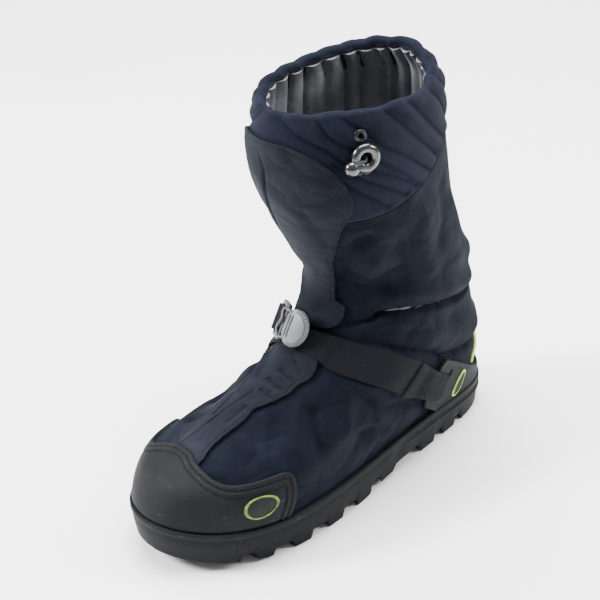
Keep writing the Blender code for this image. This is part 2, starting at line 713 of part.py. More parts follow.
def make_tube(name, path, radius, colour, resolution=2):
    curve = bpy.data.curves.new(name, "CURVE")
    curve.dimensions = "3D"
    curve.bevel_depth = radius
    curve.bevel_resolution = resolution
    curve.use_fill_caps = True
    spline = curve.splines.new("POLY")
    spline.points.add(len(path) - 1)
    for point, place in zip(spline.points, path):
        point.co = (*[float(c) for c in place], 1.0)
    curve.materials.append(colour)
    item = bpy.data.objects.new(name, curve)
    PARTS.objects.link(item)
    return item


def make_piping(colour):
    half = np.array(PIPING)
    whole = np.concatenate([half, np.column_stack([360.0 - half[-2::-1, 0], half[-2::-1, 1]])])
    samples = np.linspace(whole[0, 0], whole[-1, 0], 17)
    section, = curve_through(whole, samples)
    path = surface(np.radians(samples), section, PIPING_RADIUS + 2 * GAP)
    return make_tube("heel_piping", path, PIPING_RADIUS, colour)


# Buckle, made flat and then bent over the instep

def buckle_axes():
    """Middle of the buckle's underside, and its directions: along the strap, up the ridge and outwards."""
    u0, v0 = math.radians(BUCKLE_CENTRE[0]), BUCKLE_CENTRE[1]
    normal = Vector(last_normal(u0, v0))
    strap = np.array(STRAP)
    far = last_point(math.radians(strap[-3][0]), (strap[-3][1] + strap[-3][3]) / 2)
    across = Vector(far) - Vector(last_point(u0, v0))
    across -= normal * across.dot(normal)
    across.normalize()
    upward = normal.cross(across)
    base = STRAP_LIFT + FLAP_THICKNESS + FLAP_LIFT + WEBBING_THICKNESS + BUCKLE_SEAT
    origin = Vector(last_point(u0, v0)) + normal * base
    lean = Matrix.Rotation(math.radians(BUCKLE_TILT), 3, across)
    return origin, across, lean @ upward, lean @ normal


def bend_over_instep(mesh):
    """Moves a flat mesh (x along the strap, y up the ridge, z outwards) onto the bent instep."""
    origin, across, upward, normal = buckle_axes()
    for vertex in mesh.vertices:
        x, y, z = vertex.co
        bend = BUCKLE_RADIUS if x > 0 else BUCKLE_RADIUS_MEDIAL
        angle = x / bend
        flat = across * ((bend + z) * math.sin(angle)) + normal * ((bend + z) * math.cos(angle) - bend)
        vertex.co = origin + flat + upward * y


def rounded_outline(half_x, half_y, corner, steps=4):
    points = []
    for quarter, (sx, sy) in enumerate(((1, 1), (-1, 1), (-1, -1), (1, -1))):
        for k in range(steps + 1):
            angle = math.radians(90 * quarter + 90 * k / steps)
            points.append((sx * (half_x - corner) + corner * math.cos(angle),
                           sy * (half_y - corner) + corner * math.sin(angle)))
    return points


def plate_mesh(name, outline, hole, centre_x, low, high):
    """Flat ring between an outline and a hole with as many points, from low to high."""
    count = len(outline)
    points = []
    for z in (low, high):
        for loop in (outline, hole):
            points += [(x + centre_x, y, z) for x, y in loop]
    faces = []
    for j in range(count):
        k = (j + 1) % count
        faces.append((j, k, count + k, count + j))
        faces.append((2 * count + k, 2 * count + j, 3 * count + j, 3 * count + k))
        faces.append((k, j, 2 * count + j, 2 * count + k))
        faces.append((count + j, count + k, 3 * count + k, 3 * count + j))
    mesh = bpy.data.meshes.new(name)
    mesh.from_pydata(points, [], faces)
    return mesh


def finish_buckle_piece(name, mesh, colour):
    shape = bmesh.new()
    shape.from_mesh(mesh)
    bmesh.ops.recalc_face_normals(shape, faces=shape.faces)
    shape.to_mesh(mesh)
    shape.free()
    bend_over_instep(mesh)
    mesh.materials.append(colour)
    mesh.shade_smooth()
    mesh.set_sharp_from_angle(angle=math.radians(35))
    item = bpy.data.objects.new(name, mesh)
    PARTS.objects.link(item)
    return item


def make_buckle(colour):
    """Frame on the inner side of the ridge, and the ribbed oval lever on the outer side."""
    centre = -(FRAME_LENGTH / 2 + GAP)
    outline = rounded_outline(FRAME_LENGTH / 2, FRAME_WIDTH / 2, FRAME_BAR)
    hole = rounded_outline(FRAME_LENGTH / 2 - FRAME_BAR, FRAME_WIDTH / 2 - FRAME_BAR, FRAME_BAR / 2)
    frame = plate_mesh("buckle_frame", outline, hole, centre, 0.0, BUCKLE_THICKNESS)
    finish_buckle_piece("buckle_frame", frame, colour)
    lever_centre = LEVER_LENGTH / 2 + GAP
    rings = (0.55, 0.88, 1.0)
    heights = (1.0, 0.9, 0.6)
    count = LEVER_RIBS * 2
    points = []
    for z_share in (0, 1):
        for ring, height in zip(rings, heights):
            for k in range(count):
                angle = 2 * math.pi * k / count
                rib = LEVER_RIB_DEPTH * (k % 2) * (1.0 if ring == 1.0 else 0.0)
                points.append((lever_centre + (ring * LEVER_LENGTH / 2 - rib) * math.cos(angle),
                               (ring * LEVER_WIDTH / 2 - rib) * math.sin(angle),
                               BUCKLE_THICKNESS * height * z_share))
    total = len(rings) * count
    faces = grid_faces(len(rings), count, True, 0, True) + grid_faces(len(rings), count, True, total, False)
    faces.append(tuple(range(count)))
    faces.append(tuple(range(total, total + count)))
    rim = list(range(total - count, total))
    for a, b in zip(rim, rim[1:] + rim[:1]):
        faces.append((a, b, b + total, a + total))
    lever = bpy.data.meshes.new("buckle_lever")
    lever.from_pydata(points, [], faces)
    finish_buckle_piece("buckle_lever", lever, colour)


# Collar cord

def surface_axes(place):
    """Point of the cuff at an angle and section, with its directions: sideways, up and outwards."""
    u0, v0 = math.radians(place[0]), place[1]
    normal = Vector(last_normal(u0, v0))
    upward = Vector((0, 0, 1)) - normal * normal.z
    upward.normalize()
    return Vector(last_point(u0, v0)), upward.cross(normal), upward, normal


def torus_mesh(major, minor, matrix, major_steps, minor_steps):
    points = []
    for k in range(major_steps):
        turn = 2 * math.pi * k / major_steps
        for m in range(minor_steps):
            roll = 2 * math.pi * m / minor_steps
            radius = major + minor * math.cos(roll)
            points.append(matrix @ Vector((radius * math.cos(turn), radius * math.sin(turn),
                                           minor * math.sin(roll))))
    faces = []
    for k in range(major_steps):
        for m in range(minor_steps):
            a = k * minor_steps + m
            b = k * minor_steps + (m + 1) % minor_steps
            c = ((k + 1) % major_steps) * minor_steps + (m + 1) % minor_steps
            d = ((k + 1) % major_steps) * minor_steps + m
            faces.append((d, c, b, a))
    return points, faces


def ball_mesh(name, radius, centre, segments, rings):
    shape = bmesh.new()
    bmesh.ops.create_uvsphere(shape, u_segments=segments, v_segments=rings, radius=radius,
                              matrix=Matrix.Translation(centre))
    mesh = bpy.data.meshes.new(name)
    shape.to_mesh(mesh)
    shape.free()
    return mesh


def make_collar_cord(metal, plastic, cord):
    """Eyelet, ring-and-lobe cord lock, and the elastic's knot in the ring, all lying on the cuff."""
    origin, sideways, upward, normal = surface_axes(EYELET_CENTRE)
    turn = Matrix((sideways, upward, normal)).transposed().to_4x4()
    place = Matrix.Translation(origin + normal * (EYELET_WIRE + GAP)) @ turn
    points, faces = torus_mesh(EYELET_RADIUS, EYELET_WIRE, place, 16, 6)
    add_object("cord_eyelet", points, faces, metal, 60.0)

    origin, sideways, upward, normal = surface_axes(LOCK_CENTRE)
    turn = Matrix((sideways, upward, normal)).transposed().to_4x4()
    centre = origin + normal * (LOCK_WIRE + GAP)
    points, faces = torus_mesh(LOCK_RADIUS, LOCK_WIRE, Matrix.Translation(centre) @ turn, 20, 9)
    lock = add_object("cord_lock", points, faces, plastic, 60.0)
    reach = LOCK_RADIUS + LOCK_WIRE + LOCK_LOBE_RADIUS * LOCK_LOBE_OVERLAP
    lobe_turn = math.radians(LOCK_LOBE_TURN)
    lobe_centre = (centre - sideways * (reach * math.cos(lobe_turn)) - upward * (reach * math.sin(lobe_turn))
                   + normal * (LOCK_LOBE_RADIUS - LOCK_WIRE))
    lobe = bpy.data.objects.new("lock_lobe", ball_mesh("lock_lobe", LOCK_LOBE_RADIUS, lobe_centre, 14, 8))
    lobe.hide_render = True
    lobe.display_type = "WIRE"
    CUTTERS.objects.link(lobe)
    cut(lock, lobe, "UNION")

    knot = ball_mesh("cord_end", KNOT_RADIUS, origin + normal * (KNOT_RADIUS + 2 * GAP), 12, 8)
    knot.materials.append(cord)
    knot.shade_smooth()
    PARTS.objects.link(bpy.data.objects.new("cord_end", knot))


def build():
    clear_scene()
    make_collections()
    rubber = material("rubber", (0.045, 0.046, 0.050), 0.62)
    cloth = material("cloth", (0.028, 0.029, 0.040), 0.85)
    cuff = material("cuff_cloth", (0.020, 0.021, 0.032), 0.80)
    webbing = material("webbing", (0.060, 0.060, 0.065), 0.80)
    plastic = material("buckle_plastic", (0.16, 0.16, 0.165), 0.45)
    lime = material("lime_trim", (0.45, 0.62, 0.12), 0.50)
    badge = material("badge", (0.10, 0.11, 0.10), 0.50)
    gloss = material("lock_plastic", (0.012, 0.012, 0.014), 0.12)
    metal = material("eyelet_metal", (0.05, 0.05, 0.055), 0.30, 0.8)
    felt = material("insole_felt", (0.05, 0.05, 0.055), 0.95)

    make_sole(rubber)
    make_insole(felt)
    make_upper(cloth)
    make_cuff(cuff)
    make_toe_cap(rubber)
    make_heel_counter(rubber)
    make_flap("shaft_flap", SHAFT_FLAP, 10, cloth)
    make_flap("vamp_flap", VAMP_FLAP, 7, cloth)
    make_strap("strap_lateral", 1, webbing)
    make_strap("strap_medial", -1, webbing)
    make_buckle(plastic)
    make_badge("toe_badge", TOE_BADGE, GAP + CAP_THICKNESS, badge)
    make_badge("heel_badge", HEEL_BADGE, ANCHOR_LIFT + ANCHOR_THICKNESS, lime)
    make_piping(lime)
    make_collar_cord(metal, gloss, webbing)


build()
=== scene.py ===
"""Looks of the insulated overshoe: fine cloth, quilting, rubber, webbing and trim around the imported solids.

Every curved piece is worked out from the same family of sections of the last as the solids.
Positions on the shoe are (angle round the last in degrees, section number), lengths are metres.
"""
import math

import bmesh
import bpy
import numpy as np
from mathutils import Matrix, Vector


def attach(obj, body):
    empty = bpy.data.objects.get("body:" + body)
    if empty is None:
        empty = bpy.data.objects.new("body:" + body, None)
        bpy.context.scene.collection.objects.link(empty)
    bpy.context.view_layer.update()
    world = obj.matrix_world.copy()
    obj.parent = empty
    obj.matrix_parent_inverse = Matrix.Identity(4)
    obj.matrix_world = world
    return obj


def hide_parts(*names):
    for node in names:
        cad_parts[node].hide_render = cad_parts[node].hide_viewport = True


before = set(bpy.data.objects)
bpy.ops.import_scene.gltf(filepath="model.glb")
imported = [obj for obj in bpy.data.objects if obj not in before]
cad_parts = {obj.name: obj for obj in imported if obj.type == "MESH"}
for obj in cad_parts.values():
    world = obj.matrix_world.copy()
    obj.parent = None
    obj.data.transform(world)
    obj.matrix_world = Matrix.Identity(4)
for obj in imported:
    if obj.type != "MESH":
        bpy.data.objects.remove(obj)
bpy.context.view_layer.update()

MM = 0.001
LENGTH = 0.335
BALL_WIDTH = 0.128
INSTEP_HEIGHT = 0.130
COLLAR_HEIGHT = 0.304
SHAFT_WIDTH = 0.118
FLOOR_THICKNESS = 0.015
CUP_DEPTH = 0.0095
WAIST_RISE = 0.0065
TOE_SPRING = 0.013
TOE_SPRING_REACH = 0.28
ARCH_RISE = 0.0035
ARCH_START = 0.45
ARCH_END = 0.70
RIM_WALL = 0.004
BEAD_HEIGHT = 0.0045
BEAD_STEP = 0.0011
RAIL_DROP = 0.010
SIDE_DRAFT = 0.0028
LUG_DEPTH = 0.0065
CENTRE_BAND = 0.024
CHANNEL_WIDTH = 0.005
GAP = 0.0003
WALL = 0.003
CUFF_THICKNESS = 0.0045
CAP_THICKNESS = 0.0027
ANCHOR_THICKNESS = 0.0032
ANCHOR_LIFT = 0.0005
FLAP_THICKNESS = 0.0022
FLAP_LIFT = 0.0006
WEBBING_THICKNESS = 0.0018
STRAP_LIFT = 0.0007
INSOLE_THICKNESS = 0.004
INSOLE_PLAY = 0.0008
BUCKLE_RADIUS = 0.037
BUCKLE_RADIUS_MEDIAL = 0.028
BUCKLE_TILT = 18.0
BUCKLE_SEAT = 0.0052
BUCKLE_BASE = STRAP_LIFT + FLAP_THICKNESS + FLAP_LIFT + WEBBING_THICKNESS + BUCKLE_SEAT

# Upper and cuff
CUFF_SINK = CUFF_THICKNESS + GAP
CUFF_LAP = 0.10
LINING_THICKNESS = 2.0 * MM
RIM_TURN = 0.08
RIM_ROLL_RADIUS = 4.3 * MM
FOLD_DEPTH = 1.6
RIPPLE_HEIGHT = 0.30 * MM
EXTRA_FOLD_DEPTH = 1.5
PLEAT_WIDTH = 2.2
SWELL_HEIGHT = 1.6
SWELL_WIDTH = 4.2

# Overlays and their stitches
RIM_START = 1.03
SKIRT_DEPTH = 0.6 * MM
FLAP_SKIRT_DEPTH = 1.4 * MM
LONGEST_REACH = 0.03
CAP_SEWN_LINES = (4.3 * MM, 8.7 * MM)
CAP_GROOVE_WIDTH = 0.6 * MM
CAP_GROOVE_DEPTH = 0.95 * MM
CAP_GROOVE_MARK = 0.62
CAP_BAND_WIDTH = 9.6 * MM
SLOT_HALF_WIDTH = 1.75 * MM
SLOT_DEPTH = 3.4 * MM
FLAP_SEAM_INSET = 2.6 * MM
FLAP_RISE_ON_CUFF = 1.4 * MM
CAP_STITCH_PITCH = 3.0 * MM
CAP_STITCH_RADIUS = 0.32 * MM
STITCH_PITCH = 2.6 * MM
STITCH_RADIUS = 0.28 * MM

# Straps: angles at which they climb onto the anchor and come down from the flap, with the reach of each
ANCHOR_CLIMB = (102.0, 8.0)
FLAP_DESCENT = (38.0, 9.0)

# Tread
EDGE_SLOPE = 2.6 * MM
ARCH_SLOPE = 5.0 * MM
CENTRE_GROOVE_SHARE = 0.7
CHANNEL_SHARE = 0.8
TREAD_RIB = 0.5 * MM
HEEL_RAIL_START = 0.60
HEEL_RAIL_BLEND = 0.12

# Camera, at the photograph's angle
CAMERA_AZIMUTH = 47.8
CAMERA_ELEVATION = 29.6
CAMERA_ROLL = -3.0
CAMERA_TARGET = (-0.0042, 0.0, 0.120)
CAMERA_DISTANCE = 1.156
CAMERA_SHIFT_RIGHT = -0.0079
CAMERA_SHIFT_UP = 0.0211
CAMERA_LENS = 93.96
SENSOR_WIDTH = 36.0

# Lights: name, place, target, size, power
LIGHTS = (
    ("key_light", (-1.1, -1.3, 1.3), (0, 0, 0.12), (0.6, 0.6), 110.0),
    ("rear_light", (1.2, 1.2, 1.2), (0, 0, 0.18), (0.6, 0.6), 40.0),
    ("top_light", (-0.3, 0.4, 2.2), (0, 0, 0.10), (1.8, 1.8), 210.0),
)
WORLD_STRENGTH = 0.45
FLOOR_REACH = 6

BLACK = (0, 0, 0)

SOLE_HALF_WIDTHS = (1.390, 1.266, 0.875, 0.984, 1.383)
SOLE_SWING = 0.108

# Columns: front_y, front_z, back_y, back_z, half widths (front, fore, mid, rear, back),
# swing, bow, medial drop
FOOT_SECTIONS = (
    (-0.946, 0.377, 0.966, 0.277, 1.330, 1.200, 0.844, 0.915, 1.280, 0.108, 0.000, 0.000),
    (-0.906, 0.454, 0.968, 0.362, 1.266, 1.156, 0.852, 0.915, 1.270, 0.102, 0.008, 0.010),
    (-0.835, 0.510, 0.968, 0.438, 1.140, 1.094, 0.859, 0.915, 1.260, 0.094, 0.015, 0.060),
    (-0.728, 0.558, 0.968, 0.508, 1.000, 1.030, 0.867, 0.915, 1.250, 0.078, 0.015, 0.140),
    (-0.579, 0.620, 0.970, 0.577, 0.860, 0.945, 0.875, 0.910, 1.234, 0.062, 0.015, 0.200),
    (-0.412, 0.700, 0.966, 0.646, 0.766, 0.890, 0.875, 0.898, 1.188, 0.047, 0.015, 0.215),
    (-0.257, 0.785, 0.950, 0.715, 0.703, 0.844, 0.867, 0.875, 1.078, 0.023, 0.008, 0.215),
    (-0.119, 0.885, 0.938, 0.792, 0.688, 0.812, 0.852, 0.844, 0.969, 0.011, 0.008, 0.170),
    (-0.015, 1.000, 0.925, 0.885, 0.703, 0.812, 0.828, 0.812, 0.906, 0.000, 0.000, 0.108),
)
SHAFT_SECTIONS = (
    (0.060, 0.098, 0.922, 0.000, 0.797, 0.881, 0.890, 0.864, 0.932, 0.000, 0.000, 0.034),
    (0.068, 0.190, 0.901, 0.098, 0.830, 0.881, 0.907, 0.881, 0.915, 0.000, 0.000, 0.011),
    (0.000, 0.293, 0.851, 0.207, 0.864, 0.915, 0.924, 0.881, 0.898, 0.000, 0.000, 0.000),
    (-0.066, 0.414, 0.812, 0.333, 0.915, 0.949, 0.958, 0.915, 0.915, 0.000, 0.000, 0.000),
    (-0.119, 0.534, 0.785, 0.471, 0.949, 0.983, 0.983, 0.949, 0.949, 0.000, 0.000, 0.000),
    (-0.173, 0.667, 0.758, 0.621, 0.966, 1.000, 1.000, 0.966, 0.966, 0.000, 0.000, 0.000),
    (-0.191, 0.793, 0.755, 0.770, 0.966, 1.000, 0.992, 0.949, 0.949, 0.000, 0.000, 0.000),
    (-0.179, 0.908, 0.746, 0.931, 0.949, 0.966, 0.966, 0.915, 0.915, 0.000, 0.000, 0.000),
    (-0.167, 1.000, 0.669, 1.057, 0.847, 0.898, 0.881, 0.847, 0.814, 0.017, -0.017, 0.000),
)
# Section number of the collar's rim
COLLAR = 19

CUFF_SEAM = (14.90, 15.05, 15.70, 16.75, 17.10)
EDGE_GROOVES = ((-0.722, 0.067), (-0.558, 0.098), (-0.358, 0.098), (-0.161, 0.095), (0.030, 0.075),
                (0.524, 0.063), (0.683, 0.051))
ARCH_GROOVE = (0.275, 0.200)
ARCH_GROOVE_DEPTH = 0.0045
CENTRE_GROOVES = (-0.64, -0.46, -0.26, -0.07, 0.61, 0.75)
CENTRE_GROOVE_LENGTH = 0.045
CHANNELS = ((-0.68, 0.12), (0.44, 0.82))

STRAP = ((124.8, 3.55, 119.3, 2.15), (117.0, 4.55, 112.4, 2.90), (107.5, 5.80, 103.2, 4.05),
         (93.7, 7.10, 92.0, 5.30), (74.6, 8.38, 81.9, 6.30), (54.1, 9.07, 62.0, 7.45),
         (37.4, 9.44, 41.0, 8.22), (24.0, 9.60, 24.0, 8.72), (12.0, 9.66, 12.0, 8.88),
         (0.0, 9.70, 0.0, 8.94))
PIPING = ((148.0, 2.55), (152.0, 3.05), (158.0, 3.85), (165.0, 4.70), (172.0, 5.35), (180.0, 5.62))
TOE_BADGE = (46.5, 2.05, 0.0131, 0.0075, 6.0)
HEEL_BADGE = (133.0, 2.05, 0.0120, 0.0042, 44.0)
BUCKLE_CENTRE = (-5.0, 9.50)
EYELET_CENTRE = (59.0, 17.88)
LOCK_CENTRE = (60.8, 17.20)

# Toe cap: top edge from the front to the middle of the wing's rounded corner, then its rear edge downwards
CAP_TOP = ((0.0, 4.98), (5.0, 4.90), (10.0, 4.68), (18.5, 4.28), (26.0, 3.84), (33.0, 3.53),
           (41.0, 3.49), (47.9, 3.62), (52.2, 3.67), (55.2, 3.47))
CAP_TOP_MEDIAL = ((0.0, 4.98), (-5.0, 5.00), (-10.0, 4.93), (-18.8, 4.60), (-25.0, 4.10), (-31.0, 3.56),
                  (-38.0, 3.20), (-46.0, 3.12), (-51.5, 3.16), (-54.8, 2.95))
CAP_REAR_MEDIAL = ((-54.8, 2.95), (-56.6, 2.60), (-58.0, 2.10), (-58.6, 1.50), (-58.5, 1.02))
CAP_REAR = ((55.2, 3.47), (57.0, 3.10), (58.4, 2.40), (58.9, 1.60), (58.5, 1.02))
# Heel counter: top edge from the anchor's front corner to the back, then the anchor's front edge downwards
COUNTER_TOP = ((118.6, 5.16), (120.4, 5.22), (123.0, 4.98), (129.0, 4.26), (136.0, 3.42), (143.0, 2.70),
               (149.5, 2.20), (157.0, 1.92), (168.0, 1.86), (180.0, 1.86))
COUNTER_FRONT = ((118.6, 5.16), (117.2, 4.80), (114.4, 3.50), (112.6, 2.62), (113.2, 2.18), (116.0, 1.70),
                 (118.6, 1.02))
SLOT_LINE = ((126.8, 3.60), (124.0, 2.92), (121.3, 2.20))

# Flaps: section, inner edge angle, outer edge angle
SHAFT_FLAP = ((9.80, -19.0, 21.5), (9.95, -21.5, 26.5), (10.1, -22.5, 28.2), (10.5, -25.0, 27.6),
              (10.75, -26.0, 25.0), (10.86, -26.5, 19.5), (11.1, -27.3, 17.2), (11.7, -29.6, 16.6),
              (12.2, -31.5, 17.6), (12.7, -33.2, 21.0), (13.34, -35.5, 26.8), (13.94, -37.0, 32.6),
              (14.4, -38.0, 36.8), (14.86, -38.0, 41.5), (15.3, -38.0, 47.2), (15.7, -38.0, 50.8),
              (16.1, -37.8, 50.8), (16.5, -37.0, 47.8), (16.9, -36.0, 42.3), (17.25, -34.2, 34.0),
              (17.5, -32.0, 25.0), (17.62, -30.0, 18.5), (17.68, -27.0, 13.0))
VAMP_FLAP = ((4.52, -19.0, 12.8), (4.85, -19.5, 12.6), (5.3, -20.5, 11.4), (5.8, -21.0, 12.6),
             (6.25, -21.5, 15.0), (6.5, -22.0, 15.7), (6.8, -22.6, 15.9), (7.0, -23.0, 22.0),
             (7.3, -23.6, 27.6), (7.7, -24.6, 29.6), (7.9, -25.3, 32.4), (8.2, -26.2, 32.4),
             (8.5, -27.0, 30.6), (8.9, -26.4, 27.0), (9.3, -24.0, 23.5), (9.5, -22.0, 21.5))
# Where the rim rolls inwards: angle, section
COLLAR_RIM = ((0.0, 18.52), (25.0, 18.58), (45.0, 18.62), (62.0, 18.58), (78.0, 18.48), (95.0, 18.40),
              (113.0, 18.26), (130.0, 18.34), (150.0, 18.66), (180.0, 18.86), (210.0, 18.88),
              (240.0, 18.86), (270.0, 18.80), (300.0, 18.70), (330.0, 18.58))
CUFF_LINES = (
    ((20.0, 19.0), (35.1, 18.62), (40.0, 18.10), (45.8, 17.76), (51.2, 17.57), (62.0, 17.20), (80.0, 16.50),
     (96.0, 15.70)),
    ((6.0, 18.75), (19.5, 18.17), (30.9, 17.79), (41.3, 17.47), (52.0, 17.00), (58.3, 16.88), (75.0, 16.41),
     (91.1, 15.80)),
    ((46.0, 18.9), (60.4, 17.98), (70.1, 17.43), (82.6, 17.00), (104.7, 16.05)),
    ((64.0, 19.1), (74.8, 18.60), (83.4, 17.92), (93.8, 17.33), (112.8, 16.40)),
    ((84.0, 19.1), (91.2, 18.65), (99.0, 17.90), (110.6, 17.31), (127.5, 16.60)),
    ((102.0, 19.1), (112.3, 18.40), (119.7, 17.90), (131.0, 17.35), (144.0, 16.85)),
    ((119.0, 19.1), (128.1, 18.50), (135.2, 18.06), (146.3, 17.54), (162.0, 17.05)),
    ((137.0, 19.1), (146.0, 18.55), (157.0, 18.05), (170.0, 17.60), (180.0, 17.42)),
    ((157.0, 19.1), (167.0, 18.65), (180.0, 18.35)),
    ((44.0, 17.05), (55.2, 16.61), (68.4, 16.14), (83.1, 15.65)),
    ((49.0, 16.35), (58.0, 15.95), (70.0, 15.40)),
)

# Folds of the cloth: path, height (ridge above 0, trough below) and half width, both in millimetres
FOLDS = (
    (((19.6, 9.88), (29.2, 10.02), (41.0, 10.12), (47.4, 10.24), (49.6, 10.48), (59.6, 10.53), (75.6, 10.41),
      (95.0, 10.20), (120.0, 9.80), (145.0, 9.70), (165.0, 9.80)), -3.6, 2.6),
    (((30.0, 10.55), (47.0, 10.95), (60.0, 11.15), (78.0, 11.05), (100.0, 10.80), (125.0, 10.45),
      (150.0, 10.35), (170.0, 10.4)), 2.6, 6.5),
    (((34.0, 9.82), (46.0, 9.90), (56.0, 10.05), (72.0, 9.85), (92.0, 9.30)), 1.8, 4.0),
    (((37.0, 9.50), (54.0, 9.22), (70.0, 8.75), (88.0, 8.05), (105.0, 6.75), (122.0, 5.30), (142.0, 4.55),
      (160.0, 4.60)), -3.2, 3.2),
    (((74.0, 9.30), (92.0, 8.75), (108.0, 7.90), (126.0, 6.90), (146.0, 6.20), (165.0, 6.10)), 2.4, 8.0),
    (((88.0, 9.30), (104.0, 8.90), (122.0, 8.50)), -1.2, 5.0),
    (((64.3, 14.43), (52.0, 14.20), (44.2, 13.96), (37.0, 13.50), (31.0, 12.90), (25.5, 12.1)), -2.2, 6.5),
    (((60.0, 13.2), (50.0, 12.9), (42.0, 12.3), (38.0, 11.6)), 1.7, 7.0),
    (((72.0, 14.2), (66.0, 13.0), (63.0, 12.0), (61.0, 11.3)), -1.2, 6.0),
    (((96.0, 15.2), (90.0, 13.8), (86.0, 12.6), (85.0, 11.6)), 1.5, 9.0),
    (((118.0, 15.6), (112.0, 14.2), (104.0, 13.2), (96.0, 12.5)), -1.5, 8.0),
    (((128.0, 15.0), (134.0, 13.4), (142.0, 12.0), (150.0, 11.0)), 1.6, 9.0),
    (((150.0, 14.8), (152.0, 13.3), (160.0, 12.2), (172.0, 11.4)), -1.5, 8.0),
    (((36.0, 11.2), (44.0, 11.35), (52.0, 11.6)), -0.9, 2.6),
    (((44.0, 11.9), (50.0, 11.7), (55.0, 11.2)), -0.9, 2.6),
    (((41.1, 7.09), (47.0, 6.55), (53.0, 5.94), (61.0, 4.9), (68.2, 3.62)), -2.8, 6.0),
    (((36.0, 7.3), (43.0, 6.2), (50.0, 5.0), (56.0, 3.9)), 1.7, 5.5),
    (((28.7, 6.75), (34.0, 6.15), (39.8, 5.45), (44.0, 4.8)), -1.7, 4.5),
    (((20.0, 6.0), (28.0, 5.5), (36.0, 4.9)), 0.9, 5.0),
    (((48.0, 7.5), (58.0, 6.85), (66.0, 5.8), (76.0, 4.2)), 2.2, 6.0),
    (((55.6, 7.28), (64.0, 6.85), (73.7, 6.15), (86.0, 5.0), (98.8, 3.78), (108.0, 2.8)), -2.2, 4.5),
    (((68.6, 5.56), (76.0, 4.6), (84.0, 3.4), (89.3, 2.3)), -1.7, 6.5),
    (((82.0, 4.9), (92.0, 3.4), (98.0, 2.0)), 1.5, 6.0),
    (((-20.0, 9.88), (-32.0, 10.1), (-46.0, 10.3), (-64.0, 10.45), (-88.0, 10.2), (-115.0, 9.75),
      (-142.0, 9.7), (-165.0, 9.8)), -3.3, 2.8),
    (((-32.0, 10.6), (-50.0, 11.0), (-70.0, 11.1), (-95.0, 10.8), (-125.0, 10.45), (-150.0, 10.35),
      (-170.0, 10.4)), 2.3, 6.5),
    (((-37.0, 9.50), (-56.0, 9.18), (-74.0, 8.55), (-92.0, 7.85), (-108.0, 6.55), (-124.0, 5.20),
      (-144.0, 4.55), (-160.0, 4.60)), -2.8, 3.4),
    (((-74.0, 9.30), (-92.0, 8.80), (-110.0, 7.80), (-128.0, 6.90), (-148.0, 6.20), (-165.0, 6.10)),
      2.1, 8.0),
    (((-31.0, 7.9), (-40.0, 7.1), (-50.0, 5.9), (-60.0, 4.3)), -2.4, 5.5),
    (((-40.0, 7.8), (-52.0, 6.9), (-64.0, 5.2), (-72.0, 3.8)), 1.8, 6.0),
    (((-52.0, 7.5), (-66.0, 6.7), (-80.0, 5.4), (-94.0, 3.8)), -2.2, 5.0),
    (((-80.0, 5.9), (-90.0, 4.6), (-99.0, 2.8)), 1.5, 6.0),
    (((-26.0, 6.2), (-34.0, 5.6), (-43.0, 4.7)), -1.4, 5.0),
    (((-52.0, 14.6), (-50.0, 13.4), (-56.0, 12.3), (-66.0, 11.5)), -2.0, 7.0),
    (((-70.0, 14.9), (-72.0, 13.6), (-78.0, 12.4)), 1.6, 8.0),
    (((-92.0, 15.3), (-90.0, 13.9), (-96.0, 12.6), (-106.0, 11.7)), -1.7, 8.0),
    (((-124.0, 15.4), (-122.0, 13.9), (-130.0, 12.5), (-140.0, 11.5)), 1.6, 9.0),
    (((-152.0, 14.9), (-154.0, 13.4), (-164.0, 12.2), (-176.0, 11.5)), -1.4, 8.0),
)
# Gathers of the lower flap and small puckers along its edge
GATHERS = (
    (((6.0, 7.45), (14.0, 7.30), (21.5, 7.15)), -1.3, 1.7),
    (((5.0, 7.80), (14.0, 7.62), (25.0, 7.45)), -1.5, 1.8),
    (((8.0, 8.18), (18.0, 7.95), (28.5, 7.72)), -1.3, 1.8),
    (((3.0, 7.62), (10.0, 7.50), (17.0, 7.38)), 0.9, 1.4),
    (((9.0, 7.98), (18.0, 7.80), (26.0, 7.60)), 0.9, 1.4),
    (((14.0, 8.52), (20.0, 8.32), (27.0, 8.05)), -1.0, 1.6),
    (((-25.3, 8.29), (-22.5, 8.08), (-19.7, 7.88), (-15.0, 7.68), (-11.6, 7.52)), -3.0, 2.3),
    (((-22.0, 8.52), (-16.0, 8.22), (-9.0, 7.92), (-4.0, 7.60)), 2.1, 3.0),
    (((-19.5, 7.55), (-15.0, 7.30), (-11.0, 7.05)), 1.0, 2.5),
    (((-16.0, 7.1), (-13.0, 6.6), (-11.5, 6.1)), -0.9, 1.8),
    (((5.0, 6.1), (7.5, 6.5), (9.0, 6.95)), -0.8, 1.9),
)
# Lines sewn into the cloth: shallow, narrow grooves
SEAMS = (
    (((118.0, 12.9), (108.0, 12.5), (91.6, 12.1), (84.0, 11.65), (78.0, 11.1), (74.8, 10.55)), -0.6, 0.8),
    (((119.6, 9.5), (115.0, 9.10), (111.0, 8.75), (108.5, 8.1), (108.0, 7.5)), -0.6, 0.8),
    (((-118.0, 12.9), (-108.0, 12.5), (-91.6, 12.1), (-84.0, 11.65), (-78.0, 11.1), (-74.8, 10.55)),
      -0.6, 0.8),
    (((180.0, 5.8), (180.0, 8.0), (180.0, 11.0), (180.0, 14.0), (180.0, 17.0)), -0.8, 0.9),
)
FLAP_SEAMS = (
    (((-27.5, 4.95), (-19.0, 5.05), (-10.0, 4.92), (-9.5, 5.69), (-6.8, 6.16), (-4.6, 6.6)), -0.9, 0.8),
    (((-3.9, 5.0), (-7.0, 5.9), (-5.6, 6.48), (0.0, 7.0), (3.3, 7.32), (5.5, 7.72)), -0.8, 0.8),
)
